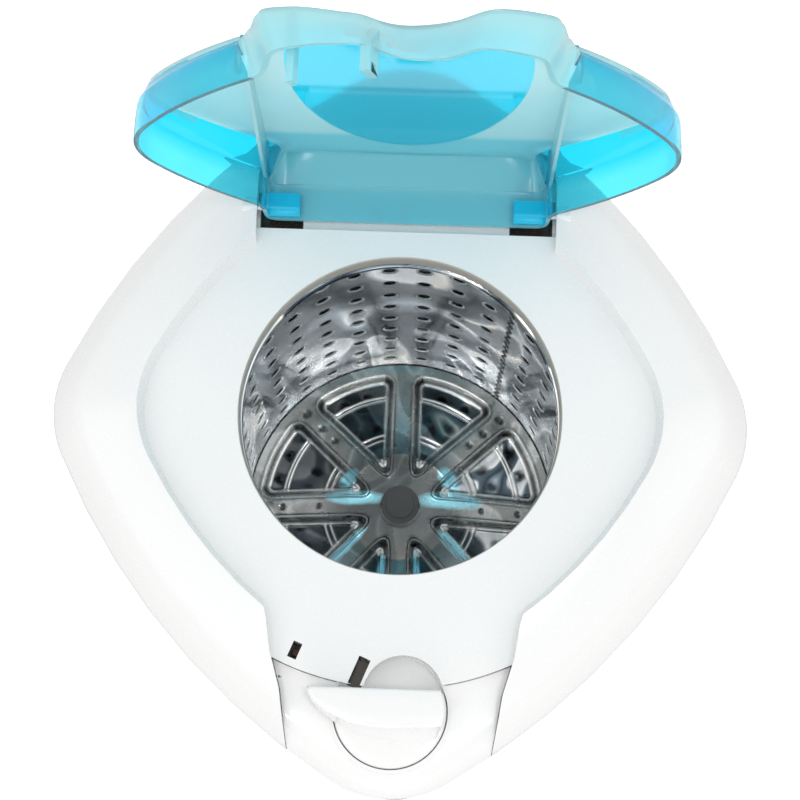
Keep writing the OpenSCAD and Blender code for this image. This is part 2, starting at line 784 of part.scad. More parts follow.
module motor_upper_bell() {
    r = stator_r;
    low = stack_z + stack_h - 12;
    color([0.6, 0.61, 0.62]) difference() {
        union() {
            difference() {
                union() {
                    translate([0, 0, low]) cylinder(r = r + 3, h = bell_top_z - low);
                    translate([0, 0, mount_top_z + plate_t]) cylinder(r = r + 12, h = 4);
                }
                translate([0, 0, low - 1]) cylinder(r = r, h = bell_top_z - low - 3);
            }
            translate([0, 0, bell_top_z - 6]) cylinder(r = bearing_r + 4, h = neck_top_z - bell_top_z + 6);
            ring_of(6, bearing_r + 2) translate([0, 1.5, bell_top_z - 1]) rotate([90, 0, 0])
                linear_extrude(3) polygon([[0, 0], [r - bearing_r - 6, 0], [2, 24], [0, 24]]);
        }
        translate([0, 0, neck_top_z - bearing_h - 0.5]) cylinder(r = bearing_r, h = 20);
        translate([0, 0, bell_top_z - 20]) cylinder(r = shaft_r + 2, h = 100);
    }
}
module bearing(z) {
    color(steel) translate([0, 0, z]) {
        tube(bearing_r, bearing_r - 3, 0, bearing_h);
        tube(bearing_r - 3, shaft_r + 2.5, 1, bearing_h - 1);
        tube(shaft_r + 2.5, shaft_r + run_gap, 0, bearing_h);
    }
}
module upper_bearing() {
    bearing(neck_top_z - bearing_h - 0.5);
}
module lower_bearing() {
    bearing(motor_z + 4);
}
module stator_stack() {
    color(dark_steel) difference() {
        tube(stator_r, bore_r, stack_z, stack_z + stack_h);
        for (i = [0:3]) rotate([0, 0, 45 + i * 90]) translate([stator_r + 1, 0, stack_z - 1])
            cylinder(r = 3, h = stack_h + 2);
    }
}
module stator_windings() {
    color("sienna") for (z = [stack_z - winding_h, stack_z + stack_h])
        translate([0, 0, z]) rotate_extrude() polygon([
            [bore_r + 4, 0], [stator_r - 7, 0], [stator_r - 5, 3], [stator_r - 5, winding_h - 3],
            [stator_r - 7, winding_h], [bore_r + 4, winding_h], [bore_r + 2, winding_h - 3],
            [bore_r + 2, 3]
        ]);
}
module capacitor() {
    color("silver") rotate([0, 0, 170]) translate([can_ring, 0, pan_floor_z]) {
        cylinder(r = can_r, h = can_h);
        for (y = [-5, 5]) translate([-3, y - 1.5, can_h - eps]) cube([6, 1, 7]);
    }
}
module capacitor_clamp() {
    color(dark_steel) rotate([0, 0, 170]) translate([can_ring, 0, pan_floor_z]) {
        tube(can_r + 1.2, can_r, can_h * 0.3, can_h * 0.3 + 14);
        translate([-can_r - 9, -5, 0]) cube([8.2, 10, 2]);
        translate([-can_r - 2.8, -5, 0]) cube([2, 10, can_h * 0.3 + 14]);
    }
}
module terminal_block() {
    way = 11;
    color("ivory") rotate([0, 0, gland_a]) translate([wall_reach - 53.8, -2 * way, pan_floor_z]) difference() {
        cube([16, 4 * way, 14]);
        for (i = [0:3]) translate([8, (i + 0.5) * way, 6]) cylinder(r = 3, h = 10);
    }
}
module brake_bracket() {
    color(dark_steel) translate([0, crank_y, 0]) difference() {
        union() {
            translate([-13, -13, pan_floor_z + 4]) cube([26, 26, 2]);
            for (s = [-1, 1]) translate([s * 9 - 1, -8, pan_floor_z + 4])
                cube([2, 16, crank_z + 7 - pan_floor_z - 4]);
        }
        translate([-20, 0, crank_z]) rotate([0, 90, 0]) cylinder(r = 2.5, h = 40);
    }
}
module brake_pivot() {
    color(steel) translate([-12, crank_y, crank_z]) rotate([0, 90, 0]) cylinder(r = 2.5, h = 24);
}
module brake_crank() {
    color(steel) difference() {
        union() {
            translate([-7, crank_y, crank_z]) rotate([0, 90, 0]) cylinder(r = 6, h = 14);
            translate([-5, rod_y - 7, crank_z - 2]) cube([10, crank_y - rod_y + 7, 4]);
            translate([-5, crank_y - 2.5, brake_z + 1]) cube([10, 5, crank_z - brake_z - 1]);
            translate([-5, crank_y, brake_z + 1]) cube([10, -crank_y - brake_r - 6.3, 10]);
        }
        translate([-20, crank_y, crank_z]) rotate([0, 90, 0]) cylinder(r = 2.5 + run_gap, h = 40);
        translate([0, rod_y, crank_z - 10]) cylinder(r = rod_r + 1, h = 20);
    }
}
module brake_pad() {
    color(black) difference() {
        translate([-9, -brake_r - 6.3, brake_z + 0.5]) cube([18, 10, 11]);
        translate([0, 0, brake_z - 5]) cylinder(r = brake_r + 0.3, h = 30);
    }
}
module brake_rod() {
    color(steel) translate([0, rod_y, 0]) {
        translate([0, 0, crank_z - 8]) cylinder(r = rod_r, h = ramp_z + head_gap + 1 - crank_z + 8);
        translate([0, 0, crank_z - 6.6]) cylinder(r = 4, h = 4, $fn = 6);
        translate([0, 0, ramp_z + head_gap]) cylinder(r = 4.2, h = 2);
    }
}

// ---- controls ------------------------------------------------------------------------------
module knob() {
    half = grip_w / 2;
    reach = knob_r + grip_reach;
    color(white) translate([0, -knob_y, 0]) {
        difference() {
            translate([0, 0, well_floor + 0.4]) cylinder(r = knob_r, h = disc_top - well_floor - 0.4);
            translate([-knob_r - 1, half, well_floor]) cube([2 * knob_r + 2, knob_r, 20]);
        }
        intersection() {
            union() {
                grip_bar(disc_top - 0.5, end_r, 2 * end_r);
                grip_bar(deck_z - 3.5, reach, reach + end_r);
            }
            union() {
                translate([0, 0, disc_top - 1]) cylinder(r = end_r, h = 60);
                translate([-60, -half, deck_z - 4]) cube([60, grip_w, 60]);
            }
        }
        translate([0, 0, cam_top_z - 6]) cylinder(r = spindle_r, h = well_floor + 1 - cam_top_z + 6);
    }
}
// A length of the grip bar: upright at the back and sloping down at the front
module grip_bar(low, start, length) {
    half = grip_w / 2;
    top = deck_z + knob_rise;
    translate([-start, 0, 0]) rotate([90, 0, 90]) linear_extrude(length) polygon([
        [-half, low], [half, low], [half, top - 1.5], [half - 1.5, top], [-half + 6.5, top - 1],
        [-half + 4.5, top - 2.5], [-half, deck_z - 1.5]
    ]);
}
module knob_cam() {
    steps = 6;
    pitch = knob_turn / steps;
    color("whitesmoke") translate([0, -knob_y, 0]) difference() {
        union() {
            translate([0, 0, ramp_z - 3]) cylinder(r = 9, h = cam_top_z - ramp_z + 3);
            translate([0, 0, ramp_z - 3]) cylinder(r = 28.5, h = 3);
            rotate([0, 0, 270 - knob_turn / 2]) translate([crank_pin_r, 0, ramp_z - 9])
                cylinder(r = 2, h = 6.5);
            for (k = [1:steps]) rotate([0, 0, 79 - knob_turn - k / 10]) translate([0, 0, ramp_z - 1])
                rotate_extrude(angle = (steps + 1 - k) * pitch + k / 10)
                    translate([19.5 + k / 10, 0]) square([8.6 - k / 5, k * rod_travel / steps + 0.4]);
        }
        translate([0, 0, ramp_z - 5]) rotate([0, 0, 90 - knob_turn - 8])
            rotate_extrude(angle = knob_turn + 16) translate([21.6, 0]) square([4.8, 20]);
        translate([0, 0, cam_top_z - 6]) cylinder(r = spindle_r, h = 60);
    }
}
module latch_bolt() {
    plate_z = ramp_z - 7.5;
    plate_end = knob_r + 14;
    y = tongue_at[1];
    pin_y = -knob_y - crank_pin_r;
    color("whitesmoke") difference() {
        union() {
            translate([-plate_end, y - 2, bolt_z - 1.7]) cube([20.5, 4, 3.4]);
            translate([-plate_end, y - 2, plate_z]) cube([4, 4, bolt_z - plate_z]);
            translate([-plate_end, pin_y - 2, plate_z]) cube([12, y + 2 - pin_y + 2, 3]);
            translate([8 - plate_end, pin_y - 6, plate_z]) cube([plate_end, 13, 3]);
        }
        translate([-crank_pin_r / 2 - 2.2, pin_y - 3, plate_z - 1]) cube([4.4, 7.5, 5]);
    }
}
module latch_guide() {
    y = tongue_at[1];
    low_x = bolt_travel - knob_r - 14 + 4.4;
    color("whitesmoke") difference() {
        union() {
            translate([low_x, y - 3.1, bolt_z - 4]) cube([4.4, 7.1, deck_z - 5.6 - bolt_z + 4]);
            translate([low_x, y + 2.3, bolt_z - 4]) cube([4.4, 1.7, cover_in - bolt_z + 4]);
        }
        translate([-40, y - 2.2, bolt_z - 1.9]) cube([20, 4.4, 3.8]);
    }
}
module lid_switch() {
    color(black) translate([peg_at[0], peg_at[1], 0]) rotate([0, 0, -slot_lean]) difference() {
        union() {
            translate([-5, -7, deck_z - 30]) cube([10, 14, 14]);
            translate([-5, 3.9, deck_z - 17]) cube([10, 3.1, 14]);
        }
        translate([0, 0, deck_z - 22]) cylinder(r = 2 + run_gap, h = 10);
    }
}
module switch_button() {
    color([0.8, 0.2, 0.15]) translate([peg_at[0], peg_at[1], deck_z - 20]) cylinder(r = 2, h = 6.5);
}

// ---- drum ----------------------------------------------------------------------------------
module drum_wall() {
    color(steel) difference() {
        tube(drum_r, drum_r - sheet, floor_z - 4, rim_z - 12);
        for (c = [0:hole_cols - 1])
            rotate([0, 0, weld_a + seam_gap / 2 + c * (360 - seam_gap) / (hole_cols - 1)])
            for (k = [0:hole_rows - 1]) translate([drum_r - 4, 0, deck_z - first_row - k * row_pitch])
                rotate([0, 90, 0]) cylinder(r = hole_r, h = 8, $fn = 6);
    }
}
module drum_rim() {
    r = rim_inner_r + rim_roll;
    zr = rim_z - rim_roll - 0.4;
    color(steel) union() {
        rotate_extrude() translate([r, zr]) circle(r = rim_roll, $fn = 24);
        rotate_extrude() polygon([
            [r, zr + rim_roll - sheet], [r, zr + rim_roll], [drum_r - 4, rim_z - 5],
            [drum_r + sheet, rim_z - 9], [drum_r + sheet, rim_z - 18], [drum_r, rim_z - 18],
            [drum_r, rim_z - 9.4], [drum_r - 4.4, rim_z - 5.9]
        ]);
    }
}
module weld_strip() {
    color(steel) rotate([0, 0, weld_a - 2.5]) rotate_extrude(angle = 5)
        translate([drum_r - sheet - 0.75, floor_z + 3]) square([0.6, rim_z - 16 - floor_z]);
}
// Section of the floor: flat hub, cone, flat edge; moved up or down by dz
function floor_line(dz) = [
    [0, hub_z + dz], [rivet_ring_r + 3, hub_z + dz],
    [drum_r - 15, floor_z + 2 + dz], [drum_r - sheet, floor_z + dz]
];
module floor_slab(top, bottom) {
    a = floor_line(top);
    b = floor_line(bottom);
    rotate_extrude() polygon(concat(a, [for (i = [len(b) - 1:-1:0]) b[i]]));
}
module pocket_plan(bar) {
    difference() {
        circle(r = drum_r - 15);
        circle(r = 24);
        for (i = [0:spokes - 1]) rotate([0, 0, i * 360 / spokes])
            translate([0, -bar / 2]) square([200, bar]);
    }
}
module drum_floor() {
    color(steel) difference() {
        floor_slab(0, -spoke_rise - sheet);
        intersection() {
            floor_slab(5, -spoke_rise);
            translate([0, 0, floor_z - 20]) linear_extrude(80) pocket_plan(spoke_w);
        }
        difference() {
            floor_slab(-sheet, -spoke_rise - sheet - 5);
            translate([0, 0, floor_z - 40]) linear_extrude(100) pocket_plan(spoke_w - 2 * sheet);
            translate([0, 0, floor_z - 40]) cylinder(r = 13, h = 100);
        }
        translate([0, 0, floor_z - 40]) cylinder(r = shaft_r, h = 100);
        ring_of(spokes, rivet_ring_r, 180 / spokes) translate([0, 0, floor_z - 40])
            cylinder(r = 2.4, h = 100);
    }
}
module hub_flange() {
    top = hub_z - spoke_rise - sheet;
    color("darkgray") difference() {
        union() {
            translate([0, 0, top - 6]) cylinder(r = rivet_ring_r + 3, h = 6);
            translate([0, 0, top - 40]) cylinder(r = 15, h = 40);
            ring_of(spokes, 12) translate([0, 1.5, top - 6 + eps]) rotate([90, 0, 0])
                linear_extrude(3) polygon([[0, 0], [rivet_ring_r - 10, 0], [4, -24], [0, -24]]);
        }
        translate([0, 0, top - 50]) cylinder(r = shaft_r, h = 80);
        ring_of(spokes, rivet_ring_r, 180 / spokes) translate([0, 0, top - 40]) cylinder(r = 2.4, h = 60);
    }
}
module floor_rivets() {
    top = hub_z - spoke_rise;
    color(steel) ring_of(spokes, rivet_ring_r, 180 / spokes) {
        translate([0, 0, top - sheet - 7]) cylinder(r = 2.4, h = sheet + 7.5);
        translate([0, 0, top])
            rotate_extrude() polygon([[0, 0], [3.2, 0], [2.9, 0.9], [1.8, 1.6], [0, 1.9]]);
        translate([0, 0, top - sheet - 8]) cylinder(r = 3.4, h = 1.2);
    }
}
module hub_nut() {
    color(steel) difference() {
        translate([0, 0, hub_z]) cylinder(r = 9.4, h = 6, $fn = 6);
        translate([0, 0, hub_z - 1]) cylinder(r = shaft_r, h = 10);
    }
}
module hub_cap() {
    color(black) difference() {
        union() {
            translate([0, 0, hub_z]) cylinder(r1 = 13.6, r2 = 13, h = 10);
            translate([0, 0, hub_z + 10 - eps]) cylinder(r = 9.4, h = 1.2);
        }
        translate([0, 0, hub_z - 1]) cylinder(r = 10.4, h = 9.2);
        for (s = [-1, 1]) translate([s * 14.4, 0, hub_z + 4]) cylinder(r = 2.6, h = 10);
    }
}
module drive_shaft() {
    color(steel) translate([0, 0, brake_z - 6]) cylinder(r = shaft_r, h = hub_z + 7.4 - brake_z + 6);
}
module motor_rotor() {
    color(dark_steel) tube(bore_r - 0.6, shaft_r, stack_z - 3, stack_z + stack_h + 3);
}
module brake_drum() {
    color(dark_steel) difference() {
        translate([0, 0, brake_z]) cylinder(r = brake_r, h = 12);
        difference() {
            translate([0, 0, brake_z - 1]) cylinder(r = brake_r - 4, h = 10);
            translate([0, 0, brake_z - 2]) cylinder(r = 12, h = 12);
        }
        translate([0, 0, brake_z - 1]) cylinder(r = shaft_r, h = 20);
    }
}
module cooling_fan() {
    z = brake_z + 12.5;
    color(black) difference() {
        union() {
            translate([0, 0, z]) cylinder(r = 38, h = 1.6);
            for (i = [0:9]) rotate([0, 0, i * 36]) translate([12, -1, z]) cube([25, 2, motor_z - 1.5 - z]);
            translate([0, 0, z]) cylinder(r = 11, h = motor_z - 1.5 - z);
        }
        translate([0, 0, z - 1]) cylinder(r = shaft_r, h = 20);
    }
}

// ---- lid -----------------------------------------------------------------------------------
// The lid is drawn closed, then turned open about its pins
module opened() {
    translate([0, hinge_y, hinge_z]) rotate([-lid_open, 0, 0]) translate([0, -hinge_y, -hinge_z])
        children();
}
lid_low = deck_z + 0.5;
band_end = -tub_r - 28;
band = [
    [band_half_w, hinge_y - 2], [band_half_w, band_end + 50], [band_half_w - 4, band_end + 36],
    [band_half_w - 9, band_end + 19], [58, band_end + 10], [44, band_end + 3],
    [30, band_end + 1], [16, band_end]
];
module lid_plan(inset) {
    offset(delta = -inset) difference() {
        intersection() {
            union() {
                polygon(wing_plan(0));
                polygon(channel_plan(-lid_gap));
                translate([-band_half_w, 60]) square([2 * band_half_w, hinge_y - 54]);
            }
            union() {
                translate([-200, 24 - tub_r]) square([400, 2 * tub_r - 44]);
                polygon(concat(band, [for (i = [len(band) - 1:-1:0]) [-band[i][0], band[i][1]]]));
                translate([-band_half_w, 60]) square([2 * band_half_w, hinge_y - 54]);
            }
        }
        translate([sweep_at[0], sweep_at[1] - knob_y]) circle(r = sweep_r + 2, $fn = 48);
    }
}
module lid_form(w) {
    shrink = 1 - 9 / recess_half_w;
    translate([0, 0, lid_low - (w > 0 ? 1 : 0)]) linear_extrude(skirt_h + (w > 0 ? 1 : 0)) lid_plan(w);
    intersection() {
        translate([0, 0, lid_low + skirt_h - eps])
            linear_extrude(plate_h - skirt_h + 2, scale = shrink) lid_plan(w);
        translate([0, hinge_y - 12, lid_low + plate_h - w]) rotate([atan(plate_fall), 0, 0])
            translate([-200, -300, -80]) cube([400, 400, 80]);
    }
}
module lid() {
    color(lid_blue) opened() difference() {
        union() {
            difference() {
                lid_form(0);
                lid_form(lid_wall);
            }
            for (s = [-1, 1]) mirror([s < 0 ? 1 : 0, 0, 0]) knuckle_arm();
            intersection() {
                lid_form(0);
                for (s = [-1, 1]) translate([s * (band_half_w - 1.5) - 1, -100, lid_low + 17])
                    cube([2, 200, 40]);
            }
        }
        hinge_bores(pin_r + run_gap, 0.4);
        tongue_form();
        peg_form();
    }
}
module knuckle_arm() {
    a = pocket_in + 1;
    b = band_half_w - 0.5;
    translate([a, hinge_y, hinge_z]) rotate([0, 90, 0]) cylinder(r = knuckle_r, h = b - a);
    translate([a, hinge_y - 3, hinge_z]) cube([b - a, 6, plate_h - hinge_rise - 4]);
}
module tongue_form() {
    top = lid_low + plate_h - 18;
    translate([tongue_at[0], tongue_at[1] + 0.6, deck_z - 11.5]) rotate([0, 0, -slot_lean])
        linear_extrude(top - deck_z + 11.5) square([4.5, 11], center = true);
}
module lid_tongue() {
    color(lid_blue) opened() difference() {
        tongue_form();
        translate([-40, tongue_at[1] - 2.6, bolt_z - 2.2]) cube([40, 5.8, 4.4]);
    }
}
module peg_form() {
    top = lid_low + plate_h - 17.2;
    translate([peg_at[0], peg_at[1] + 0.4, deck_z - 13.2]) rotate([0, 0, -slot_lean])
        linear_extrude(top - deck_z + 13.2) square([3.4, 5.6], center = true);
}
module lid_peg() {
    color(lid_blue) opened() peg_form();
}

base_pan();
feet();
casing();
top_cover();
control_panel();
neck_seal();
tub();
tub_seal();
shaft_boot();
drain_hose();
drain_spout();
cable_gland();
cover_screws();
base_screws();
hinge_pins();
motor_plate();
motor_mounts();
mount_bolts();
motor_lower_bell();
motor_upper_bell();
stator_stack();
stator_windings();
upper_bearing();
lower_bearing();
capacitor();
capacitor_clamp();
terminal_block();
brake_bracket();
brake_pivot();
latch_guide();
lid_switch();
switch_button();
knob();
knob_cam();
latch_bolt();
brake_rod();
brake_crank();
brake_pad();
drum_wall();
drum_rim();
drum_floor();
weld_strip();
hub_flange();
floor_rivets();
hub_cap();
hub_nut();
drive_shaft();
motor_rotor();
brake_drum();
cooling_fan();
lid();
lid_tongue();
lid_peg();
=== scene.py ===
"""Laundry spin dryer, seen from above with its lid open."""
import json
from math import cos, pi, radians, sin

import bmesh
import bpy
import numpy as np
from mathutils import Matrix, Vector


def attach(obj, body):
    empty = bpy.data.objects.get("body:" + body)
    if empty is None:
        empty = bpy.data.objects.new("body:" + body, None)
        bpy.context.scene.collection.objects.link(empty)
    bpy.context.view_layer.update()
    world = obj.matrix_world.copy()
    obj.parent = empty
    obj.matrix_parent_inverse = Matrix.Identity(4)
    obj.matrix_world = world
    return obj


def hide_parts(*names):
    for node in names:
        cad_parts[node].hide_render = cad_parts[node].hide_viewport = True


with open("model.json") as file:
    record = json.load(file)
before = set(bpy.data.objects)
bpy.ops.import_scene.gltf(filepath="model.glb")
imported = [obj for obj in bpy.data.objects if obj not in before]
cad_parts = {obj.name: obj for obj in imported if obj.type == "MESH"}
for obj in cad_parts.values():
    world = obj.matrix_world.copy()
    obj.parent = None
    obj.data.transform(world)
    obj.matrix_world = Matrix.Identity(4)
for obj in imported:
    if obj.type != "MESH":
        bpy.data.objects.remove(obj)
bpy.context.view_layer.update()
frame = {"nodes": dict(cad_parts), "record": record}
deck = 0.618

# ---- camera --------------------------------------------------------------------------------
# The photograph was taken from 1.2 m above the deck, a little in front of the drum's axis and
# nearly straight down. The camera is turned by 1.9 degrees about the vertical.
turn = Matrix.Rotation(radians(1.9), 4, "Z")
tilt = radians(11.94)
lens = bpy.data.cameras.new("camera")
lens.lens = 101.8
lens.sensor_width = 36.0
lens.clip_end = 30.0
camera = bpy.data.objects.new("camera", lens)
bpy.context.collection.objects.link(camera)
camera.matrix_world = (
    turn
    @ Matrix.Translation((0.0, -0.2462, deck + 1.2))
    @ Matrix.Rotation(tilt, 4, "X")
)
bpy.context.scene.camera = camera
bpy.context.scene.view_settings.view_transform = "Standard"

# ---- floor and light -----------------------------------------------------------------------
# A white sheet runs out under the machine on all sides. Two small lamps hang high above, and
# broad ones stand left, right and in front. White walls all round fill the shadows.


def grid_faces(rows, columns, wrap_rows, wrap_columns):
    """Quads between neighbouring points of a grid, with its last row or column joined to the
    first where it wraps. The points are counted row by row."""
    i = np.arange(rows if wrap_rows else rows - 1)[:, None]
    j = np.arange(columns if wrap_columns else columns - 1)[None, :]
    i1 = (i + 1) % rows
    j1 = (j + 1) % columns
    quads = np.stack(
        [i * columns + j, i1 * columns + j, i1 * columns + j1, i * columns + j1], axis=-1
    )
    return quads.reshape(-1, 4)


def make_piece(name, grids, merge=1e-5, smooth_angle=35.0, recalculate=True):
    """One object from several grids of points, each (points, wraps in rows, wraps in columns).
    Points closer than merge become one, and faces meeting at less than smooth_angle are
    shaded as one surface."""
    points = []
    faces = []
    start = 0
    for grid, wrap_rows, wrap_columns in grids:
        rows, columns = grid.shape[:2]
        points.append(grid.reshape(-1, 3))
        faces.append(grid_faces(rows, columns, wrap_rows, wrap_columns) + start)
        start += rows * columns
    mesh = bpy.data.meshes.new(name)
    mesh.from_pydata(np.concatenate(points).tolist(), [], np.concatenate(faces).tolist())
    work = bmesh.new()
    work.from_mesh(mesh)
    bmesh.ops.remove_doubles(work, verts=work.verts, dist=merge)
    bmesh.ops.dissolve_degenerate(work, edges=work.edges, dist=merge * 0.5)
    if recalculate:
        bmesh.ops.recalc_face_normals(work, faces=work.faces)
    work.to_mesh(mesh)
    work.free()
    mesh.polygons.foreach_set("use_smooth", np.ones(len(mesh.polygons), bool))
    mesh.set_sharp_from_angle(angle=radians(smooth_angle))
    piece = bpy.data.objects.new(name, mesh)
    bpy.context.collection.objects.link(piece)
    return piece


def new_material(name):
    """A material with its nodes, its links and its main shader."""
    material = bpy.data.materials.new(name)
    material.use_nodes = True
    nodes = material.node_tree.nodes
    return material, nodes, material.node_tree.links, nodes["Principled BSDF"]


def add_node(nodes, kind, fed=None, **settings):
    """A new node with its settings. Each input is fed by another node's output or a value."""
    node = nodes.new("ShaderNode" + kind)
    for key, value in settings.items():
        setattr(node, key, value)
    for key, value in (fed or {}).items():
        if isinstance(value, bpy.types.NodeSocket):
            node.id_data.links.new(value, node.inputs[key])
        else:
            node.inputs[key].default_value = value
    return node


def on_body(piece, material, body, node=None):
    """Dresses a new piece in its material and mounts it, for a CAD node where one is named."""
    piece.data.materials.append(material)
    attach(piece, body)
    if node:
        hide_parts(node)


def corners(mesh):
    """The mesh's vertices as an array of points."""
    points = np.empty(len(mesh.vertices) * 3)
    mesh.vertices.foreach_get("co", points)
    return points.reshape(-1, 3)


sheet_u = np.linspace(-8.0, 8.0, 33)
sheet_x, sheet_y = np.meshgrid(sheet_u, sheet_u, indexing="ij")
floor_sheet = make_piece(
    "floor_sheet", [(np.stack([sheet_x, sheet_y, sheet_x * 0.0], -1), False, False)]
)
paper, nodes, links, shader = new_material("studio_paper")
shader.inputs["Base Color"].default_value = (0.86, 0.86, 0.86, 1.0)
shader.inputs["Roughness"].default_value = 0.9
shader.inputs["Specular IOR Level"].default_value = 0.1
rays = add_node(nodes, "LightPath")
seen = add_node(nodes, "Math", {
    0: rays.outputs["Is Camera Ray"], 1: rays.outputs["Is Transmission Ray"],
}, operation="MAXIMUM")
lifted = add_node(nodes, "Math", {1: 0.62, 0: seen.outputs[0]}, operation="MULTIPLY")
shader.inputs["Emission Color"].default_value = (1.0, 1.0, 1.0, 1.0)
links.new(lifted.outputs[0], shader.inputs["Emission Strength"])
floor_sheet.data.materials.append(paper)

world = bpy.data.worlds.new("studio")
bpy.context.scene.world = world
world.use_nodes = True
nodes, links = world.node_tree.nodes, world.node_tree.links
rays = add_node(nodes, "LightPath")
seen = add_node(nodes, "Math", operation="MAXIMUM")
clear = add_node(nodes, "Math", operation="MAXIMUM")
links.new(rays.outputs["Is Camera Ray"], seen.inputs[0])
links.new(rays.outputs["Is Transmission Ray"], seen.inputs[1])
links.new(seen.outputs[0], clear.inputs[0])
links.new(rays.outputs["Is Glossy Ray"], clear.inputs[1])
strength = add_node(nodes, "MapRange", {"To Min": 0.86, "To Max": 1.0, "Value": clear.outputs[0]})
nodes["Background"].inputs["Color"].default_value = (1.0, 1.0, 1.0, 1.0)
links.new(strength.outputs["Result"], nodes["Background"].inputs["Strength"])

for name, place, size, watts in [
    ("lamp_high_left", (-0.5, -0.55, 2.9), 0.25, 3.0),
    ("lamp_high_right", (0.55, -0.35, 2.9), 0.3, 4.5),
    ("lamp_left", (-1.6, -0.5, 2.6), 1.8, 5.0),
    ("lamp_right", (1.9, 0.3, 2.5), 1.6, 4.0),
    ("lamp_front", (0.2, -2.6, 1.3), 1.8, 11.0),
]:
    lamp = bpy.data.lights.new(name, "AREA")
    lamp.shape = "DISK"
    lamp.size = size
    lamp.energy = watts
    holder = bpy.data.objects.new(name, lamp)
    bpy.context.collection.objects.link(holder)
    aim = Vector((0.0, 0.0, 0.45)) - Vector(place)
    facing = aim.to_track_quat("-Z", "Y").to_matrix().to_4x4()
    holder.matrix_world = Matrix.Translation(place) @ facing
    holder.visible_camera = False

# ---- moulded plastics ----------------------------------------------------------------------
# The cover, the panel and the knob are glossy white mouldings, the casing is a little duller,
# and the base is pale grey. A faint grain from the mould breaks up their gloss.


def plastic_group():
    """Colour with a slow drift, roughness with a fine scatter, and a fine moulded grain."""
    group = bpy.data.node_groups.new("moulded_plastic", "ShaderNodeTree")
    face = group.interface
    face.new_socket("Color", in_out="INPUT", socket_type="NodeSocketColor")
    for name, value in [("Drift", 0.02), ("Roughness", 0.3), ("Grain", 0.02), ("Scale", 900.0)]:
        face.new_socket(name, in_out="INPUT", socket_type="NodeSocketFloat").default_value = value
    face.new_socket("Color", in_out="OUTPUT", socket_type="NodeSocketColor")
    face.new_socket("Roughness", in_out="OUTPUT", socket_type="NodeSocketFloat")
    face.new_socket("Normal", in_out="OUTPUT", socket_type="NodeSocketVector")
    nodes, links = group.nodes, group.links
    given = nodes.new("NodeGroupInput")
    made = nodes.new("NodeGroupOutput")
    place = add_node(nodes, "TexCoord")
    cloud = add_node(nodes, "TexNoise", {"Scale": 6.0, "Vector": place.outputs["Object"]})
    drift = add_node(nodes, "MapRange", {"From Min": 0.3, "From Max": 0.7, "To Min": 1.0})
    low = add_node(nodes, "Math", {0: 1.0, 1: given.outputs["Drift"]}, operation="SUBTRACT")
    links.new(low.outputs[0], drift.inputs["To Max"])
    links.new(cloud.outputs["Fac"], drift.inputs["Value"])
    tone = add_node(nodes, "VectorMath", {
        0: given.outputs["Color"], "Scale": drift.outputs["Result"],
    }, operation="SCALE")
    links.new(tone.outputs["Vector"], made.inputs["Color"])
    speck = add_node(nodes, "TexNoise", {
        "Detail": 3.0, "Vector": place.outputs["Object"], "Scale": given.outputs["Scale"],
    })
    gloss = add_node(nodes, "Math", {
        1: 0.12, 0: speck.outputs["Fac"], 2: given.outputs["Roughness"],
    }, operation="MULTIPLY_ADD")
    links.new(gloss.outputs[0], made.inputs["Roughness"])
    bump = add_node(nodes, "Bump", {
        "Distance": 0.0004, "Strength": given.outputs["Grain"], "Height": speck.outputs["Fac"],
    })
    links.new(bump.outputs["Normal"], made.inputs["Normal"])
    return group


moulded = plastic_group()


def plastic(name, colour, roughness=0.28, drift=0.02, grain=0.05, scale=900.0, coat=0.0):
    """A plastic in one colour, from the shared moulded grain."""
    material, nodes, links, shader = new_material(name)
    grained = add_node(nodes, "Group", {
        "Color": (*colour, 1.0), "Drift": drift, "Roughness": roughness, "Grain": grain,
        "Scale": scale,
    }, node_tree=moulded)
    links.new(grained.outputs["Color"], shader.inputs["Base Color"])
    links.new(grained.outputs["Roughness"], shader.inputs["Roughness"])
    links.new(grained.outputs["Normal"], shader.inputs["Normal"])
    shader.inputs["Coat Weight"].default_value = coat
    shader.inputs["Coat Roughness"].default_value = 0.08
    return material


white_gloss = plastic("white_gloss", (0.87, 0.87, 0.865), roughness=0.2, coat=0.3)
white_satin = plastic("white_satin", (0.82, 0.83, 0.83), roughness=0.36, grain=0.12)
pale_grey = plastic("pale_grey", (0.5, 0.51, 0.515), roughness=0.42, grain=0.2)
natural = plastic("natural_nylon", (0.76, 0.76, 0.7), roughness=0.4, grain=0.15)
black_plastic = plastic("black_plastic", (0.13, 0.135, 0.14), roughness=0.4, grain=0.5, scale=700.0)
red_plastic = plastic("red_plastic", (0.22, 0.045, 0.03), roughness=0.3)
rubber = plastic("rubber", (0.035, 0.035, 0.033), roughness=0.65, drift=0.2, grain=0.4)
seal_grey = plastic("seal_grey", (0.5, 0.485, 0.44), roughness=0.35, drift=0.25, grain=0.1)


def dressed(node, material):
    """Gives a CAD node its material."""
    piece = frame["nodes"][node]
    if not piece.material_slots:
        piece.data.materials.append(material)
    for place in piece.material_slots:
        place.material = material
    return piece


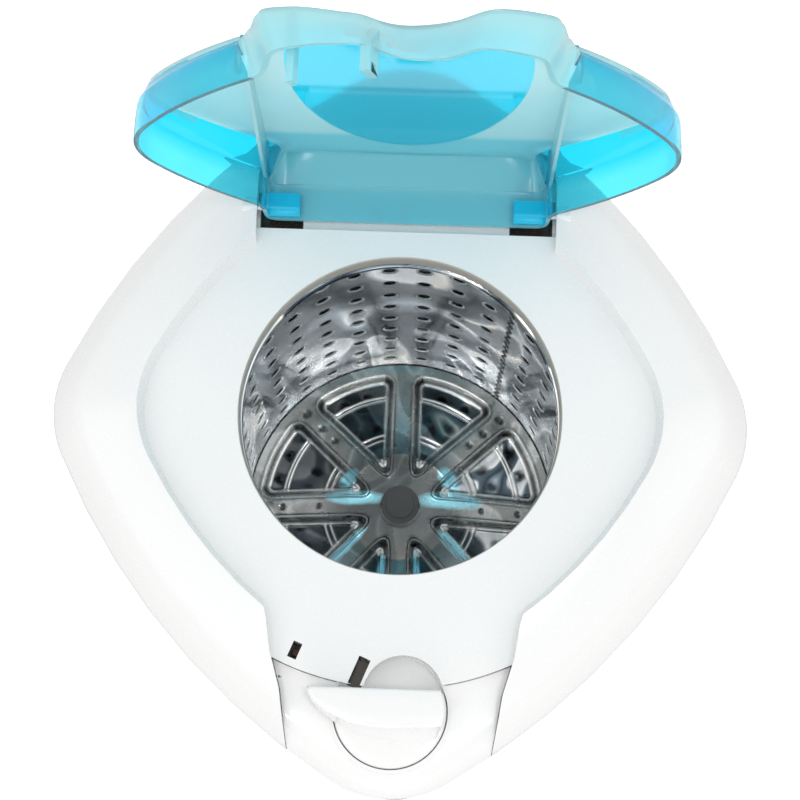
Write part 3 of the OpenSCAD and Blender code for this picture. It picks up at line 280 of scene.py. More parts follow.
def softened(name, node, body, material, width=0.0008, angle=38.0, segments=2):
    """A copy of a CAD node with its corners rounded, which then stands for the node."""
    source = frame["nodes"][node]
    mesh = source.data.copy()
    mesh.name = name
    work = bmesh.new()
    work.from_mesh(mesh)
    bmesh.ops.remove_doubles(work, verts=work.verts, dist=2e-6)
    bmesh.ops.dissolve_limit(
        work, angle_limit=radians(0.4), verts=work.verts, edges=work.edges
    )
    work.to_mesh(mesh)
    work.free()
    mesh.materials.clear()
    mesh.materials.append(material)
    mesh.polygons.foreach_set("use_smooth", np.ones(len(mesh.polygons), bool))
    piece = bpy.data.objects.new(name, mesh)
    bpy.context.collection.objects.link(piece)
    bevel = piece.modifiers.new("edges", "BEVEL")
    bevel.width = width
    bevel.segments = segments
    bevel.limit_method = "ANGLE"
    bevel.angle_limit = radians(angle)
    bevel.use_clamp_overlap = True
    shading = piece.modifiers.new("shading", "WEIGHTED_NORMAL")
    shading.mode = "FACE_AREA"
    shading.weight = 90
    shading.keep_sharp = True
    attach(piece, body)
    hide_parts(node)
    return piece


# Inside its slots and hinge pockets the white moulding is painted dark brown as shade.
nodes, links = white_gloss.node_tree.nodes, white_gloss.node_tree.links
place = add_node(nodes, "TexCoord")
slot_shade_box = None
for at, half, turned_by in [
    ((-0.0515, -0.1296), (0.0030, 0.0050), radians(-22)),
    ((-0.0170, -0.1398), (0.0038, 0.0083), radians(-22)),
    ((0.0688, 0.1125), (0.0119, 0.0104), 0.0),
    ((-0.0688, 0.1125), (0.0119, 0.0104), 0.0),
]:
    local = add_node(nodes, "Mapping", {
        "Location": (*at, deck - 0.5012), "Rotation": (0.0, 0.0, turned_by), "Scale": (*half, 0.5),
        "Vector": place.outputs["Object"],
    }, vector_type="TEXTURE")
    size = add_node(nodes, "VectorMath", {0: local.outputs["Vector"]}, operation="ABSOLUTE")
    parts = add_node(nodes, "SeparateXYZ", {0: size.outputs["Vector"]})
    most = parts.outputs["X"]
    for axis in ("Y", "Z"):
        greater = add_node(nodes, "Math", {0: most, 1: parts.outputs[axis]}, operation="MAXIMUM")
        most = greater.outputs[0]
    if slot_shade_box is not None:
        lesser = add_node(nodes, "Math", {0: slot_shade_box, 1: most}, operation="MINIMUM")
        most = lesser.outputs[0]
    slot_shade_box = most
within = add_node(nodes, "Math", {1: 1.0, 0: slot_shade_box}, operation="LESS_THAN")
shader = nodes["Principled BSDF"]
# Painted shade: the colour turns dark brown inside the slot and pocket boxes.
shaded = add_node(nodes, "Mix", {
    "B": (0.05, 0.037, 0.027, 1.0), "Factor": within.outputs[0],
    "A": shader.inputs["Base Color"].links[0].from_socket,
}, data_type="RGBA")
links.new(shaded.outputs["Result"], shader.inputs["Base Color"])
# The latch bolt and guide, seen down the slots, are painted dark brown as shade.
slot_painted_shade = plastic("slot_painted_shade", (0.06, 0.045, 0.033), roughness=0.55, grain=0.8, scale=900.0)

softened("cover_moulding", "top_cover", "housing", white_gloss, 0.0009)
softened("panel_moulding", "control_panel", "housing", white_gloss, 0.0012)
softened("casing_moulding", "casing", "housing", white_satin, 0.0008)
softened("base_moulding", "base_pan", "housing", pale_grey, 0.0012)

# ---- knob ----------------------------------------------------------------------------------
# The knob is a disc let into the panel with a broad grip bar across it. The bar's front face
# is hollow and curves round to the left end, which reaches out over the deck.
knob_y = -0.160
disc_z, disc_low = deck - 0.0052, deck - 0.0121
angle = np.linspace(0.0, 2 * pi, 144, endpoint=False)[None, :]
full_r, flat_back = 0.030, 0.011
cut_r = np.minimum(full_r, flat_back / np.maximum(np.sin(angle), 0.01))
disc_r = np.where(np.sin(angle) > 0, cut_r, full_r)
inset = np.array([30, 15, 6, 1.4, 0.7, 0.2, 0, 0, 0.2, 6, 30])[:, None] * 0.001
level = np.array(
    [disc_z] * 4
    + [disc_z - 0.0002, disc_z - 0.0006, disc_z - 0.0013, disc_low + 0.0003]
    + [disc_low] * 3
)[:, None]
out = np.maximum(disc_r - inset, 0.0)
stem_r = np.array([0.0, 0.0036, 0.004, 0.004, 0.0036, 0.0])[:, None]
stem_z = deck + np.array([-0.0259, -0.0259, -0.0255, -0.0117, -0.0113, -0.0113])[:, None]


def round_knob(radius, z):
    """Points round the knob's axis at the given radii and heights."""
    x, y = radius * np.cos(angle), knob_y + radius * np.sin(angle)
    return np.stack(np.broadcast_arrays(x, y, z), -1)


def smoothed(values, width):
    """Values along a line after a bell-shaped average, with the ends held."""
    window = np.exp(-0.5 * (np.arange(-3 * width, 3 * width + 1) / width) ** 2)
    padded = np.concatenate([np.full(3 * width, values[0]), values, np.full(3 * width, values[-1])])
    return np.convolve(padded, window / window.sum(), "valid")


bar_left, bar_long, bar_end_r = -0.0440, 0.0724, 0.0284
x = bar_left + bar_long * (0.5 - 0.5 * np.cos(np.linspace(0.0, pi, 120)))
top_path = np.array([
    [-44, -42.5, -40, -36.5, -33, -20, -4, 20.5, 28.5],
    [10.0, 6.0, 3.0, 0.2, -2.2, -8.1, -9.7, -8.6, -7.5],
]) * 0.001
foot_path = np.array([
    [-44, -42.5, -40, -36.5, -33.5, -29.5, -14.9, 1.5, 23, 28.5],
    [9.8, 5.2, 1.8, -1.3, -3.2, -6.6, -12.8, -15.4, -14.7, -13.5],
]) * 0.001
top_line = smoothed(np.interp(x, *top_path), 3)
foot_line = smoothed(np.interp(x, *foot_path), 3)
end = np.sqrt(np.maximum(bar_end_r ** 2 - np.maximum(x, 0.0) ** 2, 0.0))
rear = np.minimum(0.0109, end)
top_line = np.maximum(top_line, -end)
foot_line = np.maximum(foot_line, -end)
foot_z = np.where(x < -0.0285, deck - 0.0034, disc_z - 0.0004)
top_z = deck + 0.0119 - 0.0006 * np.exp(-(((x + 0.044) / 0.002) ** 2))
tall = top_z - foot_z
ring = [(rear, foot_z), (rear, foot_z + 0.4 * tall), (rear, top_z - 0.0016)]
ring += [(rear - 0.0002, top_z - 0.0008), (rear - 0.0007, top_z - 0.0002), (rear - 0.0016, top_z)]
ring += [(rear + (top_line - rear) * t, top_z) for t in (0.3, 0.6)]
ring += [(top_line + 0.0010, top_z), (top_line + 0.0004, top_z - 0.0002), (top_line, top_z - 0.0007)]
for t in (0.15, 0.35, 0.55, 0.75, 0.9, 1.0):
    bow = 0.0012 * np.sin(pi * t) * np.minimum(1.0, (top_line - foot_line) / 0.004)
    ring.append((top_line + (foot_line - top_line) * t + bow, top_z - 0.0007 - (tall - 0.0007) * t))
ring.append(((rear + foot_line) / 2, foot_z))
bar = np.stack([np.stack([x, knob_y + y, z], -1) for y, z in ring], 1)
ends = [np.repeat(bar[k].mean(0)[None, None], len(ring), 1) for k in (0, -1)]
bar = np.concatenate([ends[0], bar, ends[1]])
grids = [(grid, False, True) for grid in (round_knob(out, level), round_knob(stem_r, stem_z), bar)]
knob_piece = make_piece("knob_moulding", grids, merge=5e-6, smooth_angle=50.0)
on_body(knob_piece, white_gloss, "knob", "knob")

# ---- drum steel ----------------------------------------------------------------------------
# The drum is rolled and pressed from bright stainless sheet. The sheet is nearly a mirror, with soft
# upright waves from rolling, and bright and dark patches painted on as reflections of a darker room.


def steel_group():
    """Painted reflections: smooth bright and dark patches with soft bands between them, drawn out by
    Stretch along the height, with a faint warm drift, and slow waves in the sheet."""
    group = bpy.data.node_groups.new("sheet_with_painted_reflections", "ShaderNodeTree")
    face = group.interface
    for name, value in [("Stretch", 0.45), ("Scale", 11.0), ("Shift", 0.0), ("Waves", 0.08)]:
        face.new_socket(name, in_out="INPUT", socket_type="NodeSocketFloat").default_value = value
    face.new_socket("Color", in_out="OUTPUT", socket_type="NodeSocketColor")
    face.new_socket("Roughness", in_out="OUTPUT", socket_type="NodeSocketFloat")
    face.new_socket("Normal", in_out="OUTPUT", socket_type="NodeSocketVector")
    nodes, links = group.nodes, group.links
    given = nodes.new("NodeGroupInput")
    made = nodes.new("NodeGroupOutput")
    place = add_node(nodes, "TexCoord")
    scale = add_node(nodes, "CombineXYZ", {0: 1.0, 1: 1.0, 2: given.outputs["Stretch"]})
    drawn = add_node(nodes, "VectorMath", {
        0: place.outputs["Object"], 1: scale.outputs["Vector"],
    }, operation="MULTIPLY")
    patches = add_node(nodes, "TexNoise", {
        "Detail": 1.5, "Roughness": 0.4, "Distortion": 1.1, "Vector": drawn.outputs["Vector"],
        "Scale": given.outputs["Scale"],
    })
    shifted = add_node(nodes, "Math", {
        0: patches.outputs["Fac"], 1: given.outputs["Shift"],
    }, operation="ADD")
    ramp = add_node(nodes, "ValToRGB")
    steps = ramp.color_ramp.elements
    steps[0].position = 0.30
    steps[0].color = (0.02, 0.03, 0.04, 1.0)
    steps[1].position = 0.72
    steps[1].color = (1.0, 1.0, 1.0, 1.0)
    for position, colour in [
        (0.41, (0.07, 0.095, 0.12, 1.0)),
        (0.438, (1.0, 1.0, 1.0, 1.0)),
        (0.46, (0.28, 0.34, 0.39, 1.0)),
        (0.5, (0.035, 0.05, 0.065, 1.0)),
        (0.56, (0.12, 0.155, 0.18, 1.0)),
        (0.585, (1.0, 1.0, 1.0, 1.0)),
        (0.65, (0.6, 0.65, 0.68, 1.0)),
    ]:
        steps.new(position).color = colour
    links.new(shifted.outputs[0], ramp.inputs["Fac"])
    warmth = add_node(nodes, "TexNoise", {"Scale": 17.0, "Vector": place.outputs["Object"]})
    amount = add_node(nodes, "MapRange", {
        "From Min": 0.52, "From Max": 0.66, "To Max": 0.7, "Value": warmth.outputs["Fac"],
    })
    warm = add_node(nodes, "Mix", {
        "B": (1.0, 0.9, 0.78, 1.0), "Factor": amount.outputs["Result"], "A": ramp.outputs["Color"],
    }, data_type="RGBA", blend_type="MULTIPLY")
    links.new(warm.outputs["Result"], made.inputs["Color"])
    fine = add_node(nodes, "TexNoise", {"Scale": 120.0, "Vector": drawn.outputs["Vector"]})
    rough = add_node(nodes, "MapRange", {
        "To Min": 0.08, "To Max": 0.17, "Value": fine.outputs["Fac"],
    })
    links.new(rough.outputs["Result"], made.inputs["Roughness"])
    wave = add_node(nodes, "TexNoise", {
        "Scale": 13.0, "Detail": 0.5, "Vector": drawn.outputs["Vector"],
    })
    bump = add_node(nodes, "Bump", {
        "Distance": 0.006, "Strength": given.outputs["Waves"], "Height": wave.outputs["Fac"],
    })
    links.new(bump.outputs["Normal"], made.inputs["Normal"])
    return group


painted_reflection_sheet = steel_group()


def steel(name, stretch=0.45, scale=11.0, shift=0.0, waves=0.035):
    """Bright sheet whose painted reflection patches only the camera sees. Other surfaces see it
    mirrored as plain sheet.
    """
    material, nodes, links, shader = new_material(name)
    drawn = add_node(nodes, "Group", {
        "Stretch": stretch, "Scale": scale, "Shift": shift, "Waves": waves,
    }, node_tree=painted_reflection_sheet)
    seen = add_node(nodes, "LightPath")
    paint = add_node(nodes, "Mix", {
        "A": (0.92, 0.94, 0.95, 1.0), "Factor": seen.outputs["Is Camera Ray"],
        "B": drawn.outputs["Color"],
    }, name="paint", data_type="RGBA")
    links.new(paint.outputs["Result"], shader.inputs["Base Color"])
    links.new(drawn.outputs["Roughness"], shader.inputs["Roughness"])
    links.new(drawn.outputs["Normal"], shader.inputs["Normal"])
    shader.inputs["Metallic"].default_value = 1.0
    return material


wall_steel = steel("wall_steel")
rim_steel = steel("rim_steel", scale=9.0, shift=0.12, waves=0.02)
floor_steel = steel("floor_steel", stretch=1.0, scale=13.0, shift=0.03, waves=0.02)

# ---- drum wall -----------------------------------------------------------------------------
# Nine rings of 31 round holes, each punched from inside so that the sheet is drawn in round it.
# The sheet's two edges meet in a plain upright strip that has no holes.
drum_r, sheet_thick, hole_draw = 0.1048, 0.0008, 0.0018
rows, columns = 9, 31
pitch = radians((360.0 - 17.0) / 30.0)
seam_angle = radians(52.5)
first = seam_angle + radians(8.5)
row_half = 0.01425
row_z = deck - 0.092 - 0.0285 * np.arange(rows)
column_angle = first + pitch * np.arange(columns)
spin = np.arange(16) * pi / 8
reach = np.maximum(np.abs(np.cos(spin)), np.abs(np.sin(spin)))
edge_s = np.cos(spin) / reach * pitch * drum_r / 2
edge_z = np.sin(spin) / reach * row_half
ring = np.array([2.4, 2.6, 3.1, 3.8, 4.5, 5.2, 5.9, 6.9])[:, None] * 0.001
tile_s = np.concatenate([ring * np.cos(spin) * 0.92, edge_s[None]])
tile_z = np.concatenate([ring * np.sin(spin) * 1.1, edge_z[None]])
lift = np.array([1.0, 0.97, 0.84, 0.56, 0.27, 0.08, 0.008, 0.0, 0.0])[:, None] * hole_draw


def round_wall(angle, z, radius):
    """Points of an upright cylinder at the given angles, heights and radii."""
    angle, z, radius = np.broadcast_arrays(angle, z, radius)
    return np.stack([radius * np.cos(angle), radius * np.sin(angle), z], -1)


tiles = []
for k in range(rows):
    angle = column_angle[:, None, None] + (tile_s / drum_r)[None]
    block = round_wall(angle, row_z[k] + tile_z[None], drum_r + lift[None])
    tiles += [(tile, False, True) for tile in block]
side = np.array([-0.5, -0.5 * np.tan(pi / 8), 0.0, 0.5 * np.tan(pi / 8)])
seam_low, seam_high = column_angle[-1] + pitch / 2, first + 2 * pi - pitch / 2
seam_a = np.linspace(seam_low, seam_high, 5)
around = np.concatenate([(column_angle[:, None] + side * pitch).ravel(), seam_a[:-1]])
upright = np.concatenate(
    [(row_z[:, None] + row_half * np.array([1.0, np.tan(pi / 8), 0.0, -np.tan(pi / 8)])).ravel(),
     [row_z[-1] - row_half]]
)
top_z = np.linspace(row_z[0] + row_half, deck - 0.026, 12)[::-1]
low_z = np.array([row_z[-1] - row_half, deck - 0.336, deck - 0.339, deck - 0.3405])
tiles.append((round_wall(seam_a[None, :], upright[:, None], drum_r), False, False))
tiles.append((round_wall(around[None, :], top_z[:, None], drum_r), False, True))
tiles.append((round_wall(around[None, :], low_z[:, None], drum_r), False, True))
wall = make_piece("drum_sheet", tiles, merge=2e-5, smooth_angle=60.0)
points = corners(wall.data)
drawn_out = (np.hypot(points[:, 0], points[:, 1]) - drum_r) / hole_draw
wall.data.attributes.new("drawn_out", "FLOAT", "POINT").data.foreach_set("value", drawn_out)
nodes, links = wall_steel.node_tree.nodes, wall_steel.node_tree.links
paint = nodes["paint"].inputs["B"]
sheet_colour = paint.links[0].from_socket
# Painted light round each hole: a bright highlight ring on the drawn lip, made rougher there, and
# dark painted shade on the sheet just round the hole.
depth = add_node(nodes, "Attribute", attribute_name="drawn_out")
lip_highlight = add_node(nodes, "ValToRGB")
steps = lip_highlight.color_ramp.elements
steps[0].position = 0.01
steps[0].color = (0.0, 0.0, 0.0, 1.0)
steps[1].position = 1.0
steps[1].color = (0.35, 0.35, 0.35, 1.0)
for position, value in [(0.06, 1.0), (0.3, 1.0), (0.45, 0.05), (0.8, 0.0)]:
    steps.new(position).color = (value, value, value, 1.0)
links.new(depth.outputs["Fac"], lip_highlight.inputs["Fac"])
bright = add_node(nodes, "Mix", {
    "B": (1.0, 1.0, 1.0, 1.0), "Factor": lip_highlight.outputs["Color"], "A": sheet_colour,
}, data_type="RGBA")
inner = add_node(nodes, "MapRange", {
    "From Min": 0.36, "From Max": 0.5, "To Max": 0.85, "Value": depth.outputs["Fac"],
})
dark = add_node(nodes, "Mix", {
    "B": (0.03, 0.035, 0.04, 1.0), "Factor": inner.outputs["Result"], "A": bright.outputs["Result"],
}, data_type="RGBA")
links.new(dark.outputs["Result"], paint)
shader = nodes["Principled BSDF"]
rougher = add_node(nodes, "Math", {
    1: 0.3, 0: lip_highlight.outputs["Color"], 2: shader.inputs["Roughness"].links[0].from_socket,
}, operation="MULTIPLY_ADD")
links.new(rougher.outputs[0], shader.inputs["Roughness"])
thick = wall.modifiers.new("sheet", "SOLIDIFY")
thick.thickness = sheet_thick
thick.offset = 1.0
on_body(wall, wall_steel, "drum", "drum_wall")

# ---- drum floor ----------------------------------------------------------------------------
# The floor is pressed from the same sheet. It rises to a flat hub between eight straight
# spokes, and each hollow between two spokes has a rolled border and raised arcs across it.
floor_z = deck - 0.340
around = np.linspace(0.0, 2 * pi, 720, endpoint=False)[None, :]
out = np.concatenate([np.linspace(0.008, 0.022, 8), np.linspace(0.0225, 0.1000, 124),
                      np.linspace(0.101, 0.1048, 5)])[:, None]


def smooth_step(x, low, high):
    """0 below low, 1 above high, and a smooth S between them."""
    t = np.clip((x - low) / (high - low), 0.0, 1.0)
    return t * t * (3 - 2 * t)


def bump_at(x, centre, width):
    """A bell of height 1 at the centre."""
    return np.exp(-(((x - centre) / width) ** 2))


def soft_least(values, softness):
    """The least of several arrays, with the corners between them rounded."""
    return -softness * np.log(sum(np.exp(-v / softness) for v in values))


def round_corner(first, second, radius):
    """Depth inside two crossing edges whose corner is an arc of the given radius."""
    a, b = radius - first, radius - second
    outside = np.hypot(np.maximum(a, 0.0), np.maximum(b, 0.0))
    return radius - outside - np.minimum(np.maximum(a, b), 0.0)


cone = np.interp(out, [0.0, 0.036, 0.0986, 0.1048], [0.026, 0.026, 0.002, 0.0])
turned = (around + pi / 8) % (pi / 4) - pi / 8
across = np.abs(out * np.sin(turned)) - 0.007
inner = out - 0.0235
inside = round_corner(across, 0.0966 - out + 0.0 * around, 0.009)
inside = soft_least([inside, inner + 0.0 * around], 0.0022)
height = cone - 0.0042 * smooth_step(inside, 0.0, 0.0034)
height += 0.0011 * bump_at(inside, -0.0006, 0.0009) + 0.0012 * bump_at(inside, 0.0048, 0.0008)
well = smooth_step(inside, 0.003, 0.0065)
for radius, width, rise in [(0.0785, 0.0008, 0.0013), (0.0807, 0.0008, 0.0011),
                            (0.0487, 0.0008, 0.0013), (0.0524, 0.0008, 0.0013)]:
    height += rise * bump_at(out, radius, width) * well
# Mask for painted highlights along the rolled borders and the raised arcs.
rolled = bump_at(inside, -0.0001, 0.0008) + bump_at(inside, 0.005, 0.0008)
for radius in (0.0785, 0.0807, 0.0487, 0.0524):
    rolled = rolled + bump_at(out, radius, 0.0006) * well
# Mask for painted shade on the slope down into each well and in the spoke dimples.
hollow = 0.9 * bump_at(inside, 0.0024, 0.0014)
for k in range(8):
    spots = [(0.0935, 0.0034), (0.078, 0.003), (0.065, 0.0026)] if k % 2 else []
    if k in (0, 4):
        spots = [(0.0935, 0.0017), (0.0805, 0.0022), (0.0555, 0.0022)]
    for radius, width in spots:
        x = out * np.cos(around) - radius * cos(k * pi / 4)
        y = out * np.sin(around) - radius * sin(k * pi / 4)
        spot = smooth_step(-np.hypot(x, y), -width * 1.15, -width * 0.45)
        height -= 0.0011 * spot
        hollow = hollow + 0.9 * spot
points = np.stack([out * np.cos(around), out * np.sin(around), floor_z + height], -1)
floor = make_piece("drum_floor_pressing", [(points, False, True)], merge=1e-6, smooth_angle=70.0)
for name, values in (("rolled", rolled), ("hollow", hollow), ("well", well)):
    values = np.clip(values + 0.0 * height, 0.0, 1.0)
    floor.data.attributes.new(name, "FLOAT", "POINT").data.foreach_set("value", values.ravel())
nodes, links = floor_steel.node_tree.nodes, floor_steel.node_tree.links
paint = nodes["paint"].inputs["B"]


def laid_over(under, colour, amount, socket=None, scaled=1.0):
    """A colour laid over another where the named attribute or the given socket says so."""
    if isinstance(amount, str):
        read = add_node(nodes, "Attribute", attribute_name=amount)
        amount = read.outputs["Fac"]
    part = add_node(nodes, "Math", {1: scaled, 0: amount}, operation="MULTIPLY")
    if socket is not None:
        links.new(socket, part.inputs[1])
    over = add_node(nodes, "Mix", {
        "B": (*colour, 1.0), "Factor": part.outputs[0], "A": under,
    }, data_type="RGBA")
    return over.outputs["Result"]


place = add_node(nodes, "TexCoord")
flat = add_node(nodes, "VectorMath", {
    1: (1.0, 1.0, 0.0), 0: place.outputs["Object"],
}, operation="MULTIPLY")
from_middle = add_node(nodes, "VectorMath", {0: flat.outputs["Vector"]}, operation="LENGTH")
# Painted dark reflection over the hub, fading out between 30 and 60 mm from the middle.
shade = add_node(nodes, "MapRange", {
    "From Min": 0.03, "From Max": 0.06, "To Min": 0.75, "To Max": 0.0,
    "Value": from_middle.outputs["Value"],
}, interpolation_type="SMOOTHSTEP")
hub_dark_reflection = add_node(nodes, "Mix", {
    "B": (0.05, 0.06, 0.065, 1.0), "Factor": shade.outputs["Result"],
}, data_type="RGBA")
sides = add_node(nodes, "SeparateXYZ", {0: place.outputs["Object"]})
# Painted shade in the wells, deeper towards the left.
left = add_node(nodes, "MapRange", {
    "From Min": -0.01, "From Max": 0.05, "To Min": 0.9, "To Max": 0.25, "Value": sides.outputs["X"],
})
plain = add_node(nodes, "Attribute", attribute_name="well")
flat_part = add_node(nodes, "Math", {0: 1.0, 1: plain.outputs["Fac"]}, operation="SUBTRACT")
toned = laid_over(paint.links[0].from_socket, (0.5, 0.49, 0.46), flat_part.outputs[0], scaled=0.7)
toned = laid_over(toned, (0.035, 0.04, 0.045), "well", left.outputs["Result"])
# Painted shade in the hollows and spoke dimples.
toned = laid_over(toned, (0.03, 0.03, 0.03), "hollow", scaled=0.85)
# Painted highlights on the rolled borders and arcs.
toned = laid_over(toned, (1.0, 1.0, 0.97), "rolled", scaled=0.8)
links.new(toned, hub_dark_reflection.inputs["A"])
# Ragged pale blue patches beside and below the hub are painted reflections of the lid.
wobble = add_node(nodes, "TexNoise", {"Scale": 45.0, "Vector": place.outputs["Object"]})
masks = []
for at, span, turn in [
    ((-0.031, 0.006), (0.021, 0.005), 0.0),
    ((0.033, 0.006), (0.021, 0.006), 0.0),
    ((-0.035, 0.019), (0.008, 0.005), 0.9),
    ((0.033, 0.02), (0.009, 0.006), -0.9),
    ((-0.036, -0.028), (0.017, 0.004), 0.75),
    ((0.038, -0.026), (0.015, 0.004), -0.75),
    ((-0.012, -0.05), (0.019, 0.003), 1.5),
    ((0.013, -0.05), (0.019, 0.003), -1.5),
]:
    spot = add_node(nodes, "Mapping", {
        "Location": (at[0], at[1], 0.0), "Rotation": (0.0, 0.0, turn),
        "Scale": (span[0], span[1], 1.0), "Vector": flat.outputs["Vector"],
    }, vector_type="TEXTURE")
    far = add_node(nodes, "VectorMath", {0: spot.outputs["Vector"]}, operation="LENGTH")
    ragged = add_node(nodes, "Math", {
        0: far.outputs["Value"], 1: wobble.outputs["Fac"],
    }, operation="ADD")
    inside_it = add_node(nodes, "MapRange", {
        "From Min": 1.15, "From Max": 1.65, "To Min": 0.9, "To Max": 0.0,
        "Value": ragged.outputs[0],
    })
    masks.append(inside_it.outputs["Result"])
both = masks[0]
for mask in masks[1:]:
    most = add_node(nodes, "Math", {0: both, 1: mask}, operation="MAXIMUM")
    both = most.outputs[0]
painted_lid_reflection = add_node(nodes, "Mix", {
    "B": (0.42, 0.88, 1.0, 1.0), "Factor": both, "A": hub_dark_reflection.outputs["Result"],
}, data_type="RGBA")
links.new(painted_lid_reflection.outputs["Result"], paint)
shader = nodes["Principled BSDF"]
duller = add_node(nodes, "Math", {
    1: 0.14, 0: flat_part.outputs[0], 2: shader.inputs["Roughness"].links[0].from_socket,
}, operation="MULTIPLY_ADD")
links.new(duller.outputs[0], shader.inputs["Roughness"])
thick = floor.modifiers.new("sheet", "SOLIDIFY")
thick.thickness = sheet_thick
thick.offset = -1.0
on_body(floor, floor_steel, "drum", "drum_floor")

# ---- rim, weld, hub ------------------------------------------------------------------------
# The mouth of the drum is rolled over. A zig-zag weld closes the sheet, and the hub is held by
# eight rivets and covered by a black cap.
softened("drum_rim_roll", "drum_rim", "drum", rim_steel, 0.0002)
weld_z = np.linspace(deck - 0.035, floor_z + 0.004, 700)[:, None]
swing = 0.0019 * (2 / pi) * np.arcsin(np.sin(weld_z * 2 * pi / 0.0125))
tube = np.linspace(0.0, 2 * pi, 8, endpoint=False)[None, :]
bead_r = drum_r - 0.0003 + 0.0005 * np.cos(tube)
bead_a = seam_angle + (swing + 0.0005 * np.sin(tube)) / drum_r
points = round_wall(bead_a, weld_z, bead_r)
bead = make_piece("seam_weld", [(points, False, True)], smooth_angle=80.0)
on_body(bead, rim_steel, "drum", "weld_strip")
rivet_steel, nodes, links, shader = new_material("rivet_steel")
shader.inputs["Base Color"].default_value = (0.95, 0.95, 0.94, 1.0)
shader.inputs["Metallic"].default_value = 0.4
place = add_node(nodes, "TexCoord")
scuff = add_node(nodes, "TexNoise", {"Scale": 900.0, "Vector": place.outputs["Object"]})
spread = add_node(nodes, "MapRange", {"To Min": 0.25, "To Max": 0.5, "Value": scuff.outputs["Fac"]})
links.new(spread.outputs["Result"], shader.inputs["Roughness"])
dressed("floor_rivets", rivet_steel)
dressed("hub_nut", rivet_steel)
softened("hub_cap_moulding", "hub_cap", "drum", black_plastic, 0.0008)

# ---- neck seal -----------------------------------------------------------------------------
# A pale olive ring lines the neck of the opening, with a bright lip where it turns in.
profile = np.array([
    [88.0, -0.8], [87.6, -1.0], [87.3, -2.0], [87.0, -5.6], [86.8, -9.0], [86.9, -10.4],
    [87.6, -11.2], [90.2, -12.6], [90.4, -12.0], [88.0, -10.6],
]) * 0.001
around = np.linspace(0.0, 2 * pi, 192, endpoint=False)[None, :]
points = round_wall(around, deck + profile[:, 1:2], profile[:, 0:1])
seal = make_piece("neck_ring", [(points, True, True)], smooth_angle=50.0)
on_body(seal, seal_grey, "housing", "neck_seal")

# ---- lid -----------------------------------------------------------------------------------
# The lid is one clear blue moulding: a rounded diamond with a band across it that reaches over
# the control panel. It is drawn closed and turned open about its pins. Its middle is clear, and
# the rest of the plate is lightly frosted.
hinge_y, hinge_z = 0.112, deck + 0.006
opened = radians(91.0)


def stand_open(points):
    """Turns points of the closed lid about its hinge by the opening angle."""
    y = points[..., 1] - hinge_y
    z = points[..., 2] - hinge_z
    return np.stack(
        [points[..., 0], hinge_y + y * cos(opened) + z * sin(opened),
         hinge_z - y * sin(opened) + z * cos(opened)], -1
    )


def laid_shut(points):
    """Turns points of the open lid back by the opening angle."""
    y = points[..., 1] - hinge_y
    z = points[..., 2] - hinge_z
    return np.stack(
        [points[..., 0], hinge_y + y * cos(opened) - z * sin(opened),
         hinge_z + y * sin(opened) + z * cos(opened)], -1
    )


def diamond_reach(angle, half, corner, bow):
    """Distance from the middle to a rounded diamond, in each direction. Its corners are arcs
    and its sides bow outwards, each tangent to the next."""
    middle = half - corner
    h = middle / np.sqrt(2.0)
    s = (h * h - bow * bow) / (2 * bow)
    centre = np.array([middle, middle]) / 2 - s / np.sqrt(2.0)
    a1 = np.arctan2(-centre[1], middle - centre[0])
    first_arc = np.linspace(0.0, a1, 20)
    side_arc = np.linspace(a1, pi / 2 - a1, 40)
    x = np.concatenate([middle + corner * np.cos(first_arc),
                        centre[0] + (s + corner + bow) * np.cos(side_arc)])
    y = np.concatenate([corner * np.sin(first_arc),
                        centre[1] + (s + corner + bow) * np.sin(side_arc)])
    x, y = np.concatenate([x, y[::-1]]), np.concatenate([y, x[::-1]])
    folded = np.abs((angle + pi / 2) % pi - pi / 2)
    order = np.argsort(np.arctan2(y, x))
    return np.interp(folded, np.arctan2(y, x)[order], np.hypot(x, y)[order])


def lid_covers(x, y):
    """Whether each point of the plan lies under the lid."""
    wing = np.hypot(x, y) <= diamond_reach(np.arctan2(y, x), 0.137, 0.0585, 0.0082)
    channel = np.interp(-y, [0.098, 0.114, 0.131, 0.150, 0.178],
                        [0.0695, 0.0655, 0.063, 0.0575, 0.0535])
    band = np.interp(-y, [-0.110, 0.096, 0.110, 0.127, 0.136, 0.143, 0.145, 0.146],
                     [0.078, 0.078, 0.074, 0.069, 0.058, 0.044, 0.030, 0.016])
    rear = (np.abs(x) <= 0.078) & (y >= 0.06) & (y <= 0.118)
    whole = wing | ((y < -0.098) & (np.abs(x) <= channel))
    kept = (np.abs(y - 0.002) <= 0.096) | ((np.abs(x) <= band) & (y > -0.1462) & (y < 0.11))
    knob_gap = np.hypot(x - 0.0065, y + 0.152) < 0.0235
    return ((whole & kept) | rear) & ~knob_gap


middle = np.array([0.0, -0.015])
around = np.linspace(0.0, 2 * pi, 576, endpoint=False)
tries = np.arange(0.05, 0.19, 0.0002)
tried_x, tried_y = tries * np.cos(around)[:, None], middle[1] + tries * np.sin(around)[:, None]
held = lid_covers(tried_x, tried_y)
edge_r = tries[np.where(held.all(1), len(tries) - 1, np.argmin(held, axis=1))]


def smoothed_round(values, reach, width):
    """Values round a closed line after a bell-shaped average."""
    window = np.exp(-0.5 * (np.arange(-reach, reach + 1) / width) ** 2)
    padded = np.concatenate([values[-reach:], values, values[:reach]])
    return np.convolve(padded, window / window.sum(), "valid")


